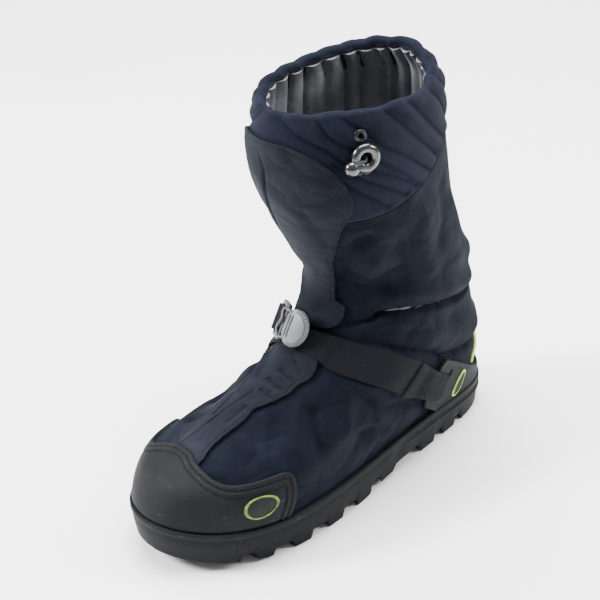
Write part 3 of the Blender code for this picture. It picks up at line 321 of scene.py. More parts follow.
RIDGE_SEAM = (((-6.3, 17.6), (-1.6, 16.6), (-9.0, 15.35), (-17.0, 14.4), (-22.0, 13.6), (-19.0, 12.9),
               (-15.0, 12.2)), -1.9, 1.3)


# The family of sections

def column_curve(values, u):
    orders = np.arange(5)
    knots = np.cos(np.outer(np.radians([0, 45, 90, 135, 180]), orders))
    weights = np.linalg.solve(knots, np.array(values, float))
    return np.tensordot(np.cos(np.multiply.outer(u, orders)), weights, axes=1)


def along(u):
    return (1.0 - np.cos(u)) / 2.0


def toe_spring(y):
    share = (y + LENGTH / 2) / LENGTH
    return TOE_SPRING * np.clip((TOE_SPRING_REACH - share) / TOE_SPRING_REACH, 0, 1) ** 2


def ground_height(y):
    share = (y + LENGTH / 2) / LENGTH
    arch_share = np.clip((share - ARCH_START) / (ARCH_END - ARCH_START), 0, 1)
    return toe_spring(y) + ARCH_RISE * np.sin(math.pi * arch_share) ** 2


def floor_height(y):
    return FLOOR_THICKNESS + toe_spring(y)


def rim_height(u):
    y = LENGTH / 2 * (2 * along(u) - 1)
    return floor_height(y) + CUP_DEPTH + WAIST_RISE * np.sin(u) ** 2


def plan_width(u):
    half = column_curve(SOLE_HALF_WIDTHS, u) * BALL_WIDTH / 2
    return np.sin(u) * half + SOLE_SWING * BALL_WIDTH / 2 * np.sin(math.pi * along(u)) ** 2


RING_36 = np.arange(36) * 2 * math.pi / 36
PLAN_CENTRE = (plan_width(RING_36).max() + plan_width(RING_36).min()) / 2


def sole_outline(u, inset=0.0):
    step = 1e-4

    def plan(angle):
        return np.stack([plan_width(angle) - PLAN_CENTRE, LENGTH / 2 * (2 * along(angle) - 1)], -1)

    tangent = plan(u + step) - plan(u - step)
    tangent /= np.linalg.norm(tangent, axis=-1, keepdims=True)
    outward = np.stack([tangent[..., 1], -tangent[..., 0]], -1)
    return plan(u) - outward * np.asarray(inset)[..., None]


def table_section(row, u, shaft):
    front_y, front_z, back_y, back_z, front, fore, mid, rear, back, swing, bow, drop = row
    rise = COLLAR_HEIGHT - INSTEP_HEIGHT if shaft else INSTEP_HEIGHT
    base = INSTEP_HEIGHT if shaft else 0.0
    half = (SHAFT_WIDTH if shaft else BALL_WIDTH) / 2
    s = along(u)
    x = np.sin(u) * column_curve((front, fore, mid, rear, back), u) * half
    x = x + swing * half * np.sin(math.pi * s) ** 2 - PLAN_CENTRE
    y = (front_y + (back_y - front_y) * s) * LENGTH / 2
    medial = np.maximum(0.0, -np.sin(u)) ** 1.5 * (1.0 - s)
    z = base + rise * (front_z + (back_z - front_z) * s + bow * np.sin(u) ** 2 - drop * medial)
    return np.stack([x, y, z], -1)


def sections(u):
    plan = sole_outline(u, RIM_WALL + GAP)
    seat = np.concatenate([plan, (floor_height(plan[..., 1]) + GAP)[..., None]], -1)
    rim = np.concatenate([plan, rim_height(u)[..., None]], -1)
    rows = [seat, rim]
    rows += [table_section(row, u, False) for row in FOOT_SECTIONS]
    rows += [table_section(row, u, True) for row in SHAFT_SECTIONS]
    return np.stack(rows, 0)


def last_point(u, v):
    u, v = np.broadcast_arrays(np.asarray(u, float), np.asarray(v, float))
    rows = sections(u)
    top = len(rows) - 1
    k = np.clip(np.floor(v).astype(int), 0, top - 1)
    t = (v - k)[..., None]

    def pick(index):
        index = np.clip(index, 0, top)
        return np.take_along_axis(rows, index[None, ..., None], axis=0)[0]

    before, start, end, after = pick(k - 1), pick(k), pick(k + 1), pick(k + 2)
    smooth = 0.5 * (2 * start + (end - before) * t
                    + (2 * before - 5 * start + 4 * end - after) * t ** 2
                    + (3 * start - before - 3 * end + after) * t ** 3)
    straight = start + (end - start) * t
    return np.where((k == 0)[..., None], straight, smooth)


def last_normal(u, v):
    step = 1e-3
    u, v = np.broadcast_arrays(np.asarray(u, float), np.asarray(v, float))
    high = np.minimum(v + step, COLLAR)
    low = np.maximum(v - step, 0)
    around = last_point(u + step, v) - last_point(u - step, v)
    upwards = last_point(u, high) - last_point(u, low)
    normal = np.cross(around, upwards)
    return normal / np.linalg.norm(normal, axis=-1, keepdims=True)


def surface(u, v, offset=0.0):
    offset = np.broadcast_to(np.asarray(offset, float), np.broadcast(u, v).shape)
    return last_point(u, v) + last_normal(u, v) * offset[..., None]


def curve_through(points, positions):
    """Smooth values at positions through a short table of (position, value, value ...)."""
    table = np.array(points, float)
    x = table[:, 0]
    results = []
    for column in table.T[1:]:
        slope = np.gradient(column, x)
        k = np.clip(np.searchsorted(x, positions, side="right") - 1, 0, len(x) - 2)
        width = x[k + 1] - x[k]
        t = (positions - x[k]) / width
        results.append(column[k] * (1 + 2 * t) * (1 - t) ** 2 + column[k + 1] * t ** 2 * (3 - 2 * t)
                       + width * (slope[k] * t * (1 - t) ** 2 - slope[k + 1] * t ** 2 * (1 - t)))
    return results


def seam_section(u):
    return column_curve(CUFF_SEAM, u)


def ease(x):
    x = np.clip(x, 0, 1)
    return x * x * (3 - 2 * x)


# Lines on the shoe

def drawn(path, count=None, step=0.002):
    """Angles (radians) and sections, evenly spaced along a smooth line through the path's points."""
    table = np.array(path, float)
    position = np.arange(len(table))
    fine = np.linspace(0, len(table) - 1, 24 * len(table))
    u, v = curve_through(np.column_stack([position, table]), fine)
    u = np.radians(u)
    points = last_point(u, v)
    length = np.concatenate([[0], np.cumsum(np.linalg.norm(np.diff(points, axis=0), axis=1))])
    if count is None:
        count = max(8, int(length[-1] / step))
    at = np.linspace(0, length[-1], count)
    return np.interp(at, length, u), np.interp(at, length, v)


def moved_sideways(u, v, distance):
    """The line (u, v) moved over the surface, to its left seen from outside for a positive distance."""
    steps = 4
    small = 1e-3
    for _ in range(steps):
        points = last_point(u, v)
        tangent = np.gradient(points, axis=0)
        tangent /= np.linalg.norm(tangent, axis=1, keepdims=True)
        side = np.cross(last_normal(u, v), tangent) * (distance / steps)
        by_u = (last_point(u + small, v) - last_point(u - small, v)) / (2 * small)
        by_v = (last_point(u, v + small) - last_point(u, v - small)) / (2 * small)
        uu = (by_u * by_u).sum(1)
        vv = (by_v * by_v).sum(1)
        uv = (by_u * by_v).sum(1)
        a = (side * by_u).sum(1)
        b = (side * by_v).sum(1)
        scale = uu * vv - uv * uv
        u = u + (a * vv - b * uv) / scale
        v = v + (b * uu - a * uv) / scale
    return u, v


def distance_to(points, line):
    """Distance from each point to the nearest point of a line, and that point's share along the line."""
    flat = points.reshape(-1, 3)
    nearest = np.full(len(flat), 1e9)
    share = np.zeros(len(flat))
    low = line.min(0) - 0.03
    high = line.max(0) + 0.03
    close = np.where(((flat > low) & (flat < high)).all(1))[0]
    for start in range(0, len(close), 4000):
        chunk = close[start:start + 4000]
        gap = flat[chunk][:, None, :] - line[None, :, :]
        square = (gap * gap).sum(-1)
        best = square.argmin(1)
        nearest[chunk] = np.sqrt(square[np.arange(len(chunk)), best])
        share[chunk] = best / (len(line) - 1)
    return nearest.reshape(points.shape[:-1]), share.reshape(points.shape[:-1])


def relief(points, table, taper=0.22):
    """Height of the folds in a table at each point, tapering away at both ends of a fold."""
    height = np.zeros(points.shape[:-1])
    for path, rise, width in table:
        u, v = drawn(path)
        distance, share = distance_to(points, last_point(u, v))
        ends = ease(np.minimum(share, 1 - share) / taper)
        height += rise * MM * np.exp(-(distance / (width * MM)) ** 2) * ends
    return height


def ripple(u, v):
    """Slight unevenness of slack cloth."""
    waves = np.sin(5 * u + 1.7 * v) + np.sin(8 * u - 2.3 * v + 1.0) + np.sin(3 * u + 3.1 * v + 2.0)
    return RIPPLE_HEIGHT * waves


# Meshes

def mesh_object(name, points, faces, looks, uv=None, face_looks=None, smooth_angle=50.0):
    """A mesh that rides on the shoe. uv holds one pair for each face corner."""
    mesh = bpy.data.meshes.new(name)
    corners = [tuple(int(i) for i in face) for face in faces]
    mesh.from_pydata([tuple(float(c) for c in point) for point in points], [], corners)
    for look in looks:
        mesh.materials.append(look)
    if face_looks is not None:
        mesh.polygons.foreach_set("material_index", np.asarray(face_looks, np.int32))
    if uv is not None:
        layer = mesh.uv_layers.new(name="UVMap")
        layer.data.foreach_set("uv", np.asarray(uv, np.float32).ravel())
    mesh.shade_smooth()
    mesh.set_sharp_from_angle(angle=math.radians(smooth_angle))
    mesh.update()
    item = bpy.data.objects.new(name, mesh)
    bpy.context.scene.collection.objects.link(item)
    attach(item, "root")
    return item


class Sheet:
    """Grids of points joined into one mesh, with lengths over the surface as texture coordinates."""

    def __init__(self):
        self.points = []
        self.faces = []
        self.uv = []
        self.face_looks = []
        self.count = 0

    def grid(self, points, closed=False, flip=False, look=0, turned=False):
        rows, columns = points.shape[:2]
        first = self.count
        self.points.append(points.reshape(-1, 3))
        self.count += rows * columns
        wide = np.concatenate([points, points[:, :1]], 1) if closed else points
        across = np.linalg.norm(np.diff(wide, axis=1), axis=-1)
        across = np.concatenate([np.zeros((rows, 1)), np.cumsum(across, 1)], 1)
        across -= across[:, across.shape[1] // 2][:, None]
        up = np.linalg.norm(np.diff(wide, axis=0), axis=-1)
        up = np.concatenate([np.zeros((1, wide.shape[1])), np.cumsum(up, 0)], 0)
        pair = np.stack([up, across] if turned else [across, up], -1)
        i, j = np.meshgrid(np.arange(rows - 1), np.arange(wide.shape[1] - 1), indexing="ij")
        i, j = i.ravel(), j.ravel()
        corners = [(i, j), (i, j + 1), (i + 1, j + 1), (i + 1, j)]
        if flip:
            corners = corners[::-1]
        quad = np.stack([first + a * columns + b % columns for a, b in corners], -1)
        self.faces += quad.tolist()
        self.uv.append(np.stack([pair[a, b] for a, b in corners], 1).reshape(-1, 2))
        self.face_looks += [look] * len(quad)
        return first

    def bridge(self, first, second, look=0):
        """Faces between two runs of point numbers of equal length."""
        for a, b, c, d in zip(first, first[1:], second[1:], second):
            self.faces.append([a, b, c, d])
            self.uv.append(np.zeros((4, 2)))
            self.face_looks.append(look)

    def cap(self, numbers, look=0):
        """One face through a ring of point numbers."""
        self.faces.append(numbers)
        self.uv.append(np.zeros((len(numbers), 2)))
        self.face_looks.append(look)

    def join_borders(self, first, second, rows, columns, look=0):
        """Closes the gap between two grids of the same size, right round their borders."""
        numbers = border_numbers(0, rows, columns)
        self.bridge([first + k for k in numbers], [second + k for k in numbers], look)

    def finish(self, name, looks, smooth_angle=50.0):
        points = np.concatenate(self.points)
        uv = np.concatenate(self.uv)
        return mesh_object(name, points, self.faces, looks, uv, self.face_looks, smooth_angle)


def border_numbers(first, rows, columns):
    """Point numbers right round a grid's border, back to the start."""
    top = [first + (rows - 1) * columns + j for j in range(columns)]
    right = [first + i * columns + columns - 1 for i in range(rows)]
    bottom = [first + j for j in range(columns)]
    left = [first + i * columns for i in range(rows)]
    return bottom + right[1:] + top[::-1][1:] + left[::-1][1:]


def tube_grid(path, radius, sides):
    """Points of a round tube along a path of points, with a radius for each."""
    tangent = np.gradient(path, axis=0)
    tangent /= np.linalg.norm(tangent, axis=1, keepdims=True)
    normal = np.cross(tangent[0], [0.3, 0.2, 0.93])
    rings = []
    for point, direction, size in zip(path, tangent, radius):
        normal = normal - direction * normal.dot(direction)
        normal /= np.linalg.norm(normal)
        other = np.cross(direction, normal)
        angle = np.arange(sides) * 2 * math.pi / sides
        rings.append(point + size * (np.cos(angle)[:, None] * normal + np.sin(angle)[:, None] * other))
    return np.array(rings)


def add_tube(sheet, path, radius, sides=10, look=0):
    """A tube with closed, rounded ends."""
    path = np.asarray(path, float)
    radius = np.broadcast_to(np.asarray(radius, float), len(path)).copy()
    first_way = (path[0] - path[1]) / np.linalg.norm(path[0] - path[1])
    last_way = (path[-1] - path[-2]) / np.linalg.norm(path[-1] - path[-2])
    turn = np.radians([85, 50])
    head = [path[0] + first_way * radius[0] * math.sin(a) for a in turn]
    tail = [path[-1] + last_way * radius[-1] * math.sin(a) for a in turn[::-1]]
    sizes = np.concatenate([radius[0] * np.cos(turn), radius, radius[-1] * np.cos(turn[::-1])])
    grid = tube_grid(np.concatenate([head, path, tail]), sizes, sides)
    first = sheet.grid(grid, closed=True, look=look, turned=True)
    last = first + (len(grid) - 1) * sides
    for ring in (list(range(first, first + sides))[::-1], list(range(last, last + sides))):
        sheet.cap(ring, look)


def smooth_path(points, count):
    table = np.array(points, float)
    position = np.arange(len(table))
    at = np.linspace(0, len(table) - 1, count)
    return np.stack(curve_through(np.column_stack([position, table]), at), -1)


# Materials

class Look:
    """A Principled material built from nodes."""

    def __init__(self, name, roughness, metallic=0.0, sheen=0.0, coat=0.0, specular=0.5):
        self.material = bpy.data.materials.new(name)
        self.material.use_nodes = True
        self.tree = self.material.node_tree
        self.shader = self.tree.nodes["Principled BSDF"]
        self.shader.inputs["Roughness"].default_value = roughness
        self.shader.inputs["Metallic"].default_value = metallic
        self.shader.inputs["Sheen Weight"].default_value = sheen
        self.shader.inputs["Coat Weight"].default_value = coat
        self.shader.inputs["Coat Roughness"].default_value = 0.25
        self.shader.inputs["Specular IOR Level"].default_value = specular
        self.place = self.node("ShaderNodeTexCoord").outputs["Object"]
        self.over = self.node("ShaderNodeTexCoord").outputs["UV"]
        self.height = None

    def node(self, kind, **values):
        item = self.tree.nodes.new(kind)
        for key, value in values.items():
            setattr(item, key, value)
        return item

    def link(self, source, target):
        self.tree.links.new(source, target)

    def noise(self, scale, detail=4.0, rough=0.55, stretch=None):
        where = self.place
        if stretch:
            mapping = self.node("ShaderNodeMapping")
            mapping.inputs["Scale"].default_value = stretch
            self.link(where, mapping.inputs["Vector"])
            where = mapping.outputs["Vector"]
        item = self.node("ShaderNodeTexNoise")
        item.inputs["Scale"].default_value = scale
        item.inputs["Detail"].default_value = detail
        item.inputs["Roughness"].default_value = rough
        self.link(where, item.inputs["Vector"])
        return item.outputs["Fac"]

    def cells(self, scale):
        item = self.node("ShaderNodeTexVoronoi", feature="F1")
        item.inputs["Scale"].default_value = scale
        self.link(self.place, item.inputs["Vector"])
        return item.outputs["Distance"]

    def math(self, operation, a, b=None):
        item = self.node("ShaderNodeMath", operation=operation)
        for socket, value in zip(item.inputs, (a, b)):
            if value is None:
                continue
            if isinstance(value, (int, float)):
                socket.default_value = value
            else:
                self.link(value, socket)
        return item.outputs[0]

    def weave(self, pitch, slant=0.0):
        """Threads crossing over the sheet's own lengths: 0 between threads, 1 on their crowns."""
        split = self.node("ShaderNodeSeparateXYZ")
        self.link(self.over, split.inputs[0])
        x, y = split.outputs[0], split.outputs[1]
        turns = 2 * math.pi / pitch
        if slant:
            x = self.math("ADD", x, self.math("MULTIPLY", y, slant))
        across = self.math("SINE", self.math("MULTIPLY", x, turns))
        length = self.math("SINE", self.math("MULTIPLY", y, turns))
        crossing = self.math("MULTIPLY", across, length)
        return self.math("ADD", self.math("MULTIPLY", crossing, 0.5), 0.5)

    def ramp(self, factor, stops):
        item = self.node("ShaderNodeValToRGB")
        elements = item.color_ramp.elements
        while len(elements) < len(stops):
            elements.new(0.5)
        for element, (position, colour) in zip(elements, stops):
            element.position = position
            element.color = (*colour, 1.0)
        self.link(factor, item.inputs["Fac"])
        return item.outputs["Color"]

    def mix(self, factor, a, b, mode="MIX"):
        item = self.node("ShaderNodeMix", data_type="RGBA", blend_type=mode)
        for socket, value in zip((item.inputs["Factor"], item.inputs[6], item.inputs[7]), (factor, a, b)):
            if isinstance(value, tuple):
                socket.default_value = (*value, 1.0)
            elif isinstance(value, (int, float)):
                socket.default_value = value
            else:
                self.link(value, socket)
        return item.outputs[2]

    def colour(self, source):
        if isinstance(source, tuple):
            self.shader.inputs["Base Color"].default_value = (*source, 1.0)
        else:
            self.link(source, self.shader.inputs["Base Color"])
        return self

    def roughness(self, factor, low, high):
        item = self.node("ShaderNodeMapRange")
        item.inputs["To Min"].default_value = low
        item.inputs["To Max"].default_value = high
        self.link(factor, item.inputs["Value"])
        self.link(item.outputs["Result"], self.shader.inputs["Roughness"])
        return self

    def bump(self, height, distance, strength=1.0):
        item = self.node("ShaderNodeBump")
        item.inputs["Distance"].default_value = distance
        item.inputs["Strength"].default_value = strength
        self.link(height, item.inputs["Height"])
        if self.height is not None:
            self.link(self.height, item.inputs["Normal"])
        self.height = item.outputs["Normal"]
        self.link(self.height, self.shader.inputs["Normal"])
        return self


def cloth_look(name, dark, light, pitch, roughness=0.86, crease_depth=0.004, sheen=0.03):
    look = Look(name, roughness, sheen=sheen, specular=0.08)
    look.shader.inputs["Sheen Roughness"].default_value = 0.5
    look.shader.inputs["Sheen Tint"].default_value = (0.62, 0.68, 0.85, 1.0)
    threads = look.weave(pitch)
    broad = look.noise(28.0, 3.0)
    fine = look.noise(900.0, 3.0)
    slub = look.noise(260.0, 4.0, stretch=(1.0, 1.0, 3.0))
    base = look.ramp(broad, ((0.30, dark), (0.72, light)))
    specks = look.ramp(fine, ((0.30, (0.72, 0.72, 0.74)), (0.72, (1.22, 1.22, 1.24))))
    base = look.mix(0.8, base, specks, "MULTIPLY")
    lint = look.ramp(look.noise(700.0, 1.0), ((0.79, BLACK), (0.81, (0.06, 0.06, 0.066))))
    look.colour(look.mix(1.0, base, lint, "ADD"))
    look.roughness(fine, roughness - 0.06, min(1.0, roughness + 0.08))
    look.bump(broad, 0.0012, 0.6)
    crumple = look.noise(15.0, 1.0, 0.4, stretch=(1.0, 1.0, 1.5))
    look.bump(look.math("ABSOLUTE", look.math("SUBTRACT", crumple, 0.5)), crease_depth * 6, 1.0)
    small = look.noise(38.0, 1.0, 0.4, stretch=(1.0, 1.0, 1.3))
    look.bump(look.math("ABSOLUTE", look.math("SUBTRACT", small, 0.5)), crease_depth * 1.6, 0.9)
    look.bump(slub, 0.0005, 0.7)
    look.bump(fine, 0.00025, 0.7)
    return look.bump(threads, 0.00022, 0.8).material


def rubber_look(name, dark, light, grain_depth):
    look = Look(name, 0.62, specular=0.12)
    broad = look.noise(40.0, 4.0)
    pebble = look.cells(900.0)
    fine = look.noise(1400.0, 2.0)
    base = look.ramp(broad, ((0.28, dark), (0.74, light)))
    rubbed = look.noise(75.0, 6.0, 0.75, stretch=(1.0, 1.0, 2.2))
    scuff = look.ramp(rubbed, ((0.60, BLACK), (0.78, (0.030, 0.030, 0.031))))
    dust = look.ramp(look.noise(1100.0, 1.0), ((0.74, BLACK), (0.80, (0.06, 0.06, 0.06))))
    base = look.mix(1.0, base, scuff, "ADD")
    look.colour(look.mix(0.7, base, dust, "ADD"))
    look.roughness(broad, 0.54, 0.74)
    look.bump(broad, 0.0006, 0.5)
    look.bump(pebble, grain_depth, 0.8)
    return look.bump(fine, 0.00012, 0.6).material


def make_looks():
    looks = {}
    looks["upper"] = cloth_look("upper_cloth", (0.0012, 0.0022, 0.0062), (0.0036, 0.0054, 0.0115), 0.00075)
    looks["flap"] = cloth_look("flap_cloth", (0.0050, 0.0064, 0.0110), (0.0125, 0.0146, 0.0210), 0.00075)
    looks["cuff"] = cloth_look("cuff_cloth", (0.0028, 0.0042, 0.0105), (0.0062, 0.0085, 0.0180),
                               0.0005, 0.82, 0.0012)
    looks["lining"] = cloth_look("lining_cloth", (0.130, 0.132, 0.142), (0.200, 0.202, 0.216),
                                 0.0005, 0.60, 0.0025)
    # Darker copy of the lining cloth: painted shade for the lining just under the rim's roll.
    looks["lining_painted_shade"] = cloth_look("lining_painted_shade", (0.016, 0.018, 0.024), (0.028, 0.030, 0.039),
                                     0.0005, 0.80, 0.0025)
    looks["sole"] = rubber_look("sole_rubber", (0.0020, 0.0023, 0.0034), (0.0048, 0.0052, 0.0066), 0.00010)
    looks["cap"] = rubber_look("cap_rubber", (0.0028, 0.0031, 0.0042), (0.0064, 0.0068, 0.0084), 0.00034)

    felt = Look("insole_felt", 0.95, sheen=0.2)
    fibres = felt.noise(700.0, 5.0, 0.7)
    felt.colour(felt.ramp(fibres, ((0.3, (0.018, 0.018, 0.020)), (0.75, (0.050, 0.050, 0.055)))))
    looks["felt"] = felt.bump(fibres, 0.0008, 0.8).material

    web = Look("webbing", 0.80, sheen=0.01, specular=0.1)
    rows = web.weave(0.0014, 0.5)
    fibre = web.noise(2200.0, 2.0)
    # The colour follows the weave: painted shade in the gaps between the threads, lighter on their crowns.
    base = web.ramp(rows, ((0.10, (0.0015, 0.0016, 0.0025)), (0.80, (0.0075, 0.0085, 0.0130))))
    uneven = web.ramp(fibre, ((0.3, (0.5, 0.5, 0.5)), (0.7, (1.5, 1.5, 1.5))))
    web.colour(web.mix(0.5, base, uneven, "MULTIPLY"))
    web.bump(rows, 0.00055, 1.0)
    looks["webbing"] = web.bump(fibre, 0.00012, 0.6).material

    grey = Look("buckle_plastic", 0.42, specular=0.5)
    cloud = grey.noise(60.0, 4.0)
    scratch = grey.noise(500.0, 3.0, stretch=(4.0, 0.6, 1.0))
    base = grey.ramp(cloud, ((0.3, (0.034, 0.036, 0.040)), (0.72, (0.060, 0.063, 0.067))))
    scratches = grey.ramp(scratch, ((0.66, BLACK), (0.74, (0.06, 0.06, 0.06))))
    grey.colour(grey.mix(1.0, base, scratches, "ADD"))
    grey.roughness(cloud, 0.34, 0.52)
    looks["buckle"] = grey.bump(grey.noise(1500.0, 2.0), 0.00010, 0.5).material

    pale = Look("lever_plastic", 0.45, specular=0.5)
    cloud = pale.noise(90.0, 4.0)
    pale.colour(pale.ramp(cloud, ((0.3, (0.082, 0.086, 0.091)), (0.72, (0.125, 0.129, 0.134)))))
    pale.roughness(cloud, 0.36, 0.54)
    looks["lever"] = pale.bump(pale.noise(1500.0, 2.0), 0.00010, 0.5).material

    dark = Look("badge_rubber", 0.60, specular=0.15)
    cloud = dark.noise(120.0, 3.0)
    dark.colour(dark.ramp(cloud, ((0.3, (0.005, 0.006, 0.006)), (0.7, (0.012, 0.013, 0.012)))))
    looks["badge"] = dark.bump(dark.noise(1800.0, 2.0), 0.00006, 0.5).material

    lime = Look("lime_trim", 0.46, specular=0.5)
    cloud = lime.noise(200.0, 3.0)
    lime.colour(lime.ramp(cloud, ((0.3, (0.300, 0.470, 0.050)), (0.7, (0.480, 0.640, 0.110)))))
    looks["lime"] = lime.bump(lime.noise(1600.0, 2.0), 0.00010, 0.6).material

    worn = Look("lime_worn", 0.55, specular=0.3)
    cloud = worn.noise(260.0, 4.0)
    worn.colour(worn.ramp(cloud, ((0.35, (0.030, 0.055, 0.006)), (0.68, (0.170, 0.260, 0.030)))))
    looks["lime_worn"] = worn.bump(worn.noise(1600.0, 2.0), 0.00010, 0.6).material

    metal = Look("eyelet_metal", 0.30, metallic=0.85)
    worn = metal.noise(300.0, 4.0)
    metal.colour(metal.ramp(worn, ((0.35, (0.010, 0.010, 0.012)), (0.75, (0.050, 0.050, 0.054)))))
    looks["metal"] = metal.roughness(worn, 0.22, 0.42).bump(worn, 0.00008, 0.5).material

    gloss = Look("lock_plastic", 0.14, coat=0.6, specular=0.6)
    worn = gloss.noise(160.0, 4.0)
    gloss.colour(gloss.ramp(worn, ((0.3, (0.006, 0.006, 0.007)), (0.7, (0.014, 0.014, 0.016)))))
    looks["lock"] = gloss.roughness(worn, 0.08, 0.22).bump(worn, 0.00010, 0.4).material

    # Nearly black woven look. On the flaps' skirts it is painted shade along the flap edges, and it also
    # darkens the bottoms of the toe cap's sewn grooves.
    binding = Look("flap_binding", 0.9, specular=0.08)
    weft = binding.weave(0.0009)
    binding.colour(binding.ramp(weft, ((0.2, (0.0015, 0.0018, 0.003)), (0.8, (0.004, 0.0045, 0.007)))))
    looks["binding"] = binding.bump(weft, 0.0002, 0.8).material

    # Nearly black colour: painted shade standing in for the inside of the eyelet's open hole.
    hole = Look("eyelet_hole", 0.95, specular=0.05)
    dust = hole.noise(900.0, 2.0)
    hole.colour(hole.ramp(dust, ((0.3, (0.001, 0.001, 0.001)), (0.8, (0.003, 0.003, 0.003)))))
    looks["hole"] = hole.material

    cord = Look("cord_elastic", 0.70, sheen=0.05, specular=0.2)
    braid = cord.weave(0.0011, 0.8)
    # The colour follows the braid: painted shade between the strands, lighter on their crowns.
    cord.colour(cord.ramp(braid, ((0.1, (0.010, 0.010, 0.012)), (0.8, (0.055, 0.055, 0.060)))))
    looks["cord"] = cord.bump(braid, 0.0003, 1.0).material

    thread = Look("thread", 0.7, sheen=0.02, specular=0.15)
    twist = thread.noise(2500.0, 2.0)
    thread.colour(thread.ramp(twist, ((0.3, (0.003, 0.0035, 0.006)), (0.7, (0.010, 0.011, 0.016)))))
    looks["thread"] = thread.bump(twist, 0.00008, 0.8).material
    return looks


# Upper

def strap_cover(u, v):
    """1 under the straps, 0 away from them, eased at their edges."""
    table = np.array(STRAP)[::-1]
    angle = np.abs(np.degrees(np.arctan2(np.sin(u), np.cos(u))))
    top = np.interp(angle, table[:, 0], table[:, 1])
    low = np.interp(angle, table[:, 2], table[:, 3])
    inside = np.minimum(v - low, top - v)
    reach = ease((122.0 - angle) / 4.0)
    return ease(inside / 0.35 + 0.75) * reach


def cap_top_section(u):
    """Section number of the toe cap's top edge, and 0 beyond its wings."""
    angle = np.degrees(np.arctan2(np.sin(u), np.cos(u)))
    inner_end = ((-61.0, 0.0), (-58.5, 1.0))
    outer_end = ((58.5, 1.0), (61.0, 0.0))
    edge = np.array(inner_end + CAP_TOP_MEDIAL[:0:-1] + CAP_TOP + outer_end)
    return np.interp(angle, edge[:, 0], edge[:, 1])


def overlay_cover(u, v):
    """1 under the toe cap and the heel counter, 0 away from them."""
    angle = np.abs(np.degrees(np.arctan2(np.sin(u), np.cos(u))))
    cap_top = cap_top_section(u)
    counter = np.array(COUNTER_TOP)
    counter_top = np.interp(angle, [110, 112.6] + list(counter[:, 0]), [0.0, 2.8] + list(counter[:, 1]))
    return ease((np.maximum(cap_top, counter_top) - v) / 0.5 + 0.9)


def cloth_height(u, v):
    """Height of the cloth's folds, kept down where something lies on it."""
    points = last_point(u, v)
    height = FOLD_DEPTH * relief(points, FOLDS) + relief(points, SEAMS) + ripple(u, v)
    height *= 1 - overlay_cover(u, v)
    cover = strap_cover(u, v)
    height = height * (1 - cover) + np.minimum(height, 0) * cover * 0.6
    near_rim = ease((v - 1.0) / 0.8)
    near_cuff = ease((seam_section(u) - v) / 0.5)
    return height * near_rim * near_cuff


PLEATS = ((-171, 0), (-158, 3), (-146, -2), (-133, 2), (-121, 0), (-106, -3), (-94, 2), (-80, 0), (-66, 2),
          (-51, -2), (-37, 1), (-22, 0), (-6, 2), (10, -1), (25, 2), (39, 0), (54, -2), (68, 2), (83, 0),
          (98, 3), (110, -2), (121, 4), (131, -3), (143, 2), (153, -4), (165, 3), (176, -1))


def pleat_table():
    """Folds of the lining, hanging down from the collar."""
    table = []
    for k, (angle, lean) in enumerate(PLEATS):
        deep = 3.4 + 1.0 * math.sin(2.1 * k)
        low = 13.2 + 1.3 * math.sin(1.3 * k + 0.5)
        hang = ((angle, 19.2), (angle + 0.4 * lean, 18.0), (angle + 0.8 * lean, 16.0), (angle + lean, low))
        table.append((hang, -deep, PLEAT_WIDTH))
        nxt = PLEATS[(k + 1) % len(PLEATS)][0] + (360 if k == len(PLEATS) - 1 else 0)
        middle = (angle + nxt) / 2
        swell = ((middle, 19.2), (middle + 0.5 * lean, 17.6), (middle + lean, 15.4))
        table.append((swell, SWELL_HEIGHT, SWELL_WIDTH))
    return table


def make_upper(looks):
    columns = 252
    u = math.pi + np.arange(columns) * 2 * math.pi / columns
    sheet = Sheet()
    shares = np.concatenate([np.linspace(0.0, 0.21, 30, endpoint=False), np.linspace(0.21, 1.0, 160)])
    vv = shares[:, None] * (rim_section(u) - RIM_TURN)[None, :]
    uu = np.broadcast_to(u[None, :], vv.shape)
    seam = seam_section(uu)
    sink = CUFF_SINK * ease((vv - seam + 0.10) / 0.16)
    height = cloth_height(uu, vv)
    outer = surface(uu, vv, height - sink)
    first_outer = sheet.grid(outer, closed=True)
    inner_shares = np.linspace(1.0, 0.055, 90)
    vv = inner_shares[:, None] * (rim_section(u) - RIM_TURN)[None, :]
    uu = np.broadcast_to(u[None, :], vv.shape)
    points = last_point(uu, vv)
    depth = WALL + LINING_THICKNESS + CUFF_SINK * ease((vv - 13.0) / 3.0)
    soft = ease((vv - 11.0) / 3.0)
    pleats = relief(points, pleat_table(), 0.06) * soft
    inner = surface(uu, vv, -depth - pleats)
    first_inner = sheet.grid(inner, closed=True, look=1)
    top = [first_outer + (len(shares) - 1) * columns + j % columns for j in range(columns + 1)]
    rim = [first_inner + j % columns for j in range(columns + 1)]
    sheet.bridge(top, rim, 1)
    foot = [first_inner + (len(inner_shares) - 1) * columns + j % columns for j in range(columns + 1)]
    base = [first_outer + j % columns for j in range(columns + 1)]
    sheet.bridge(foot, base, 1)
    upper = sheet.finish("upper_shell", [looks["upper"], looks["lining"]], 70.0)
    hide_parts("upper")


def rim_section(u):
    """Section number at which the cuff's outer face ends and its rim rolls inwards."""
    angle = np.degrees(np.mod(u, 2 * math.pi))
    table = np.array(COLLAR_RIM)
    whole = np.concatenate([table[-3:] - [360.0, 0.0], table, table[:3] + [360.0, 0.0]])
    return curve_through(whole, angle.ravel())[0].reshape(angle.shape)


def cuff_lines():
    """Sewn channels of the cuff, the same on both sides."""
    lines = []
    for path in CUFF_LINES:
        lines.append(path)
        lines.append(tuple((-a, b) for a, b in path))
    return lines


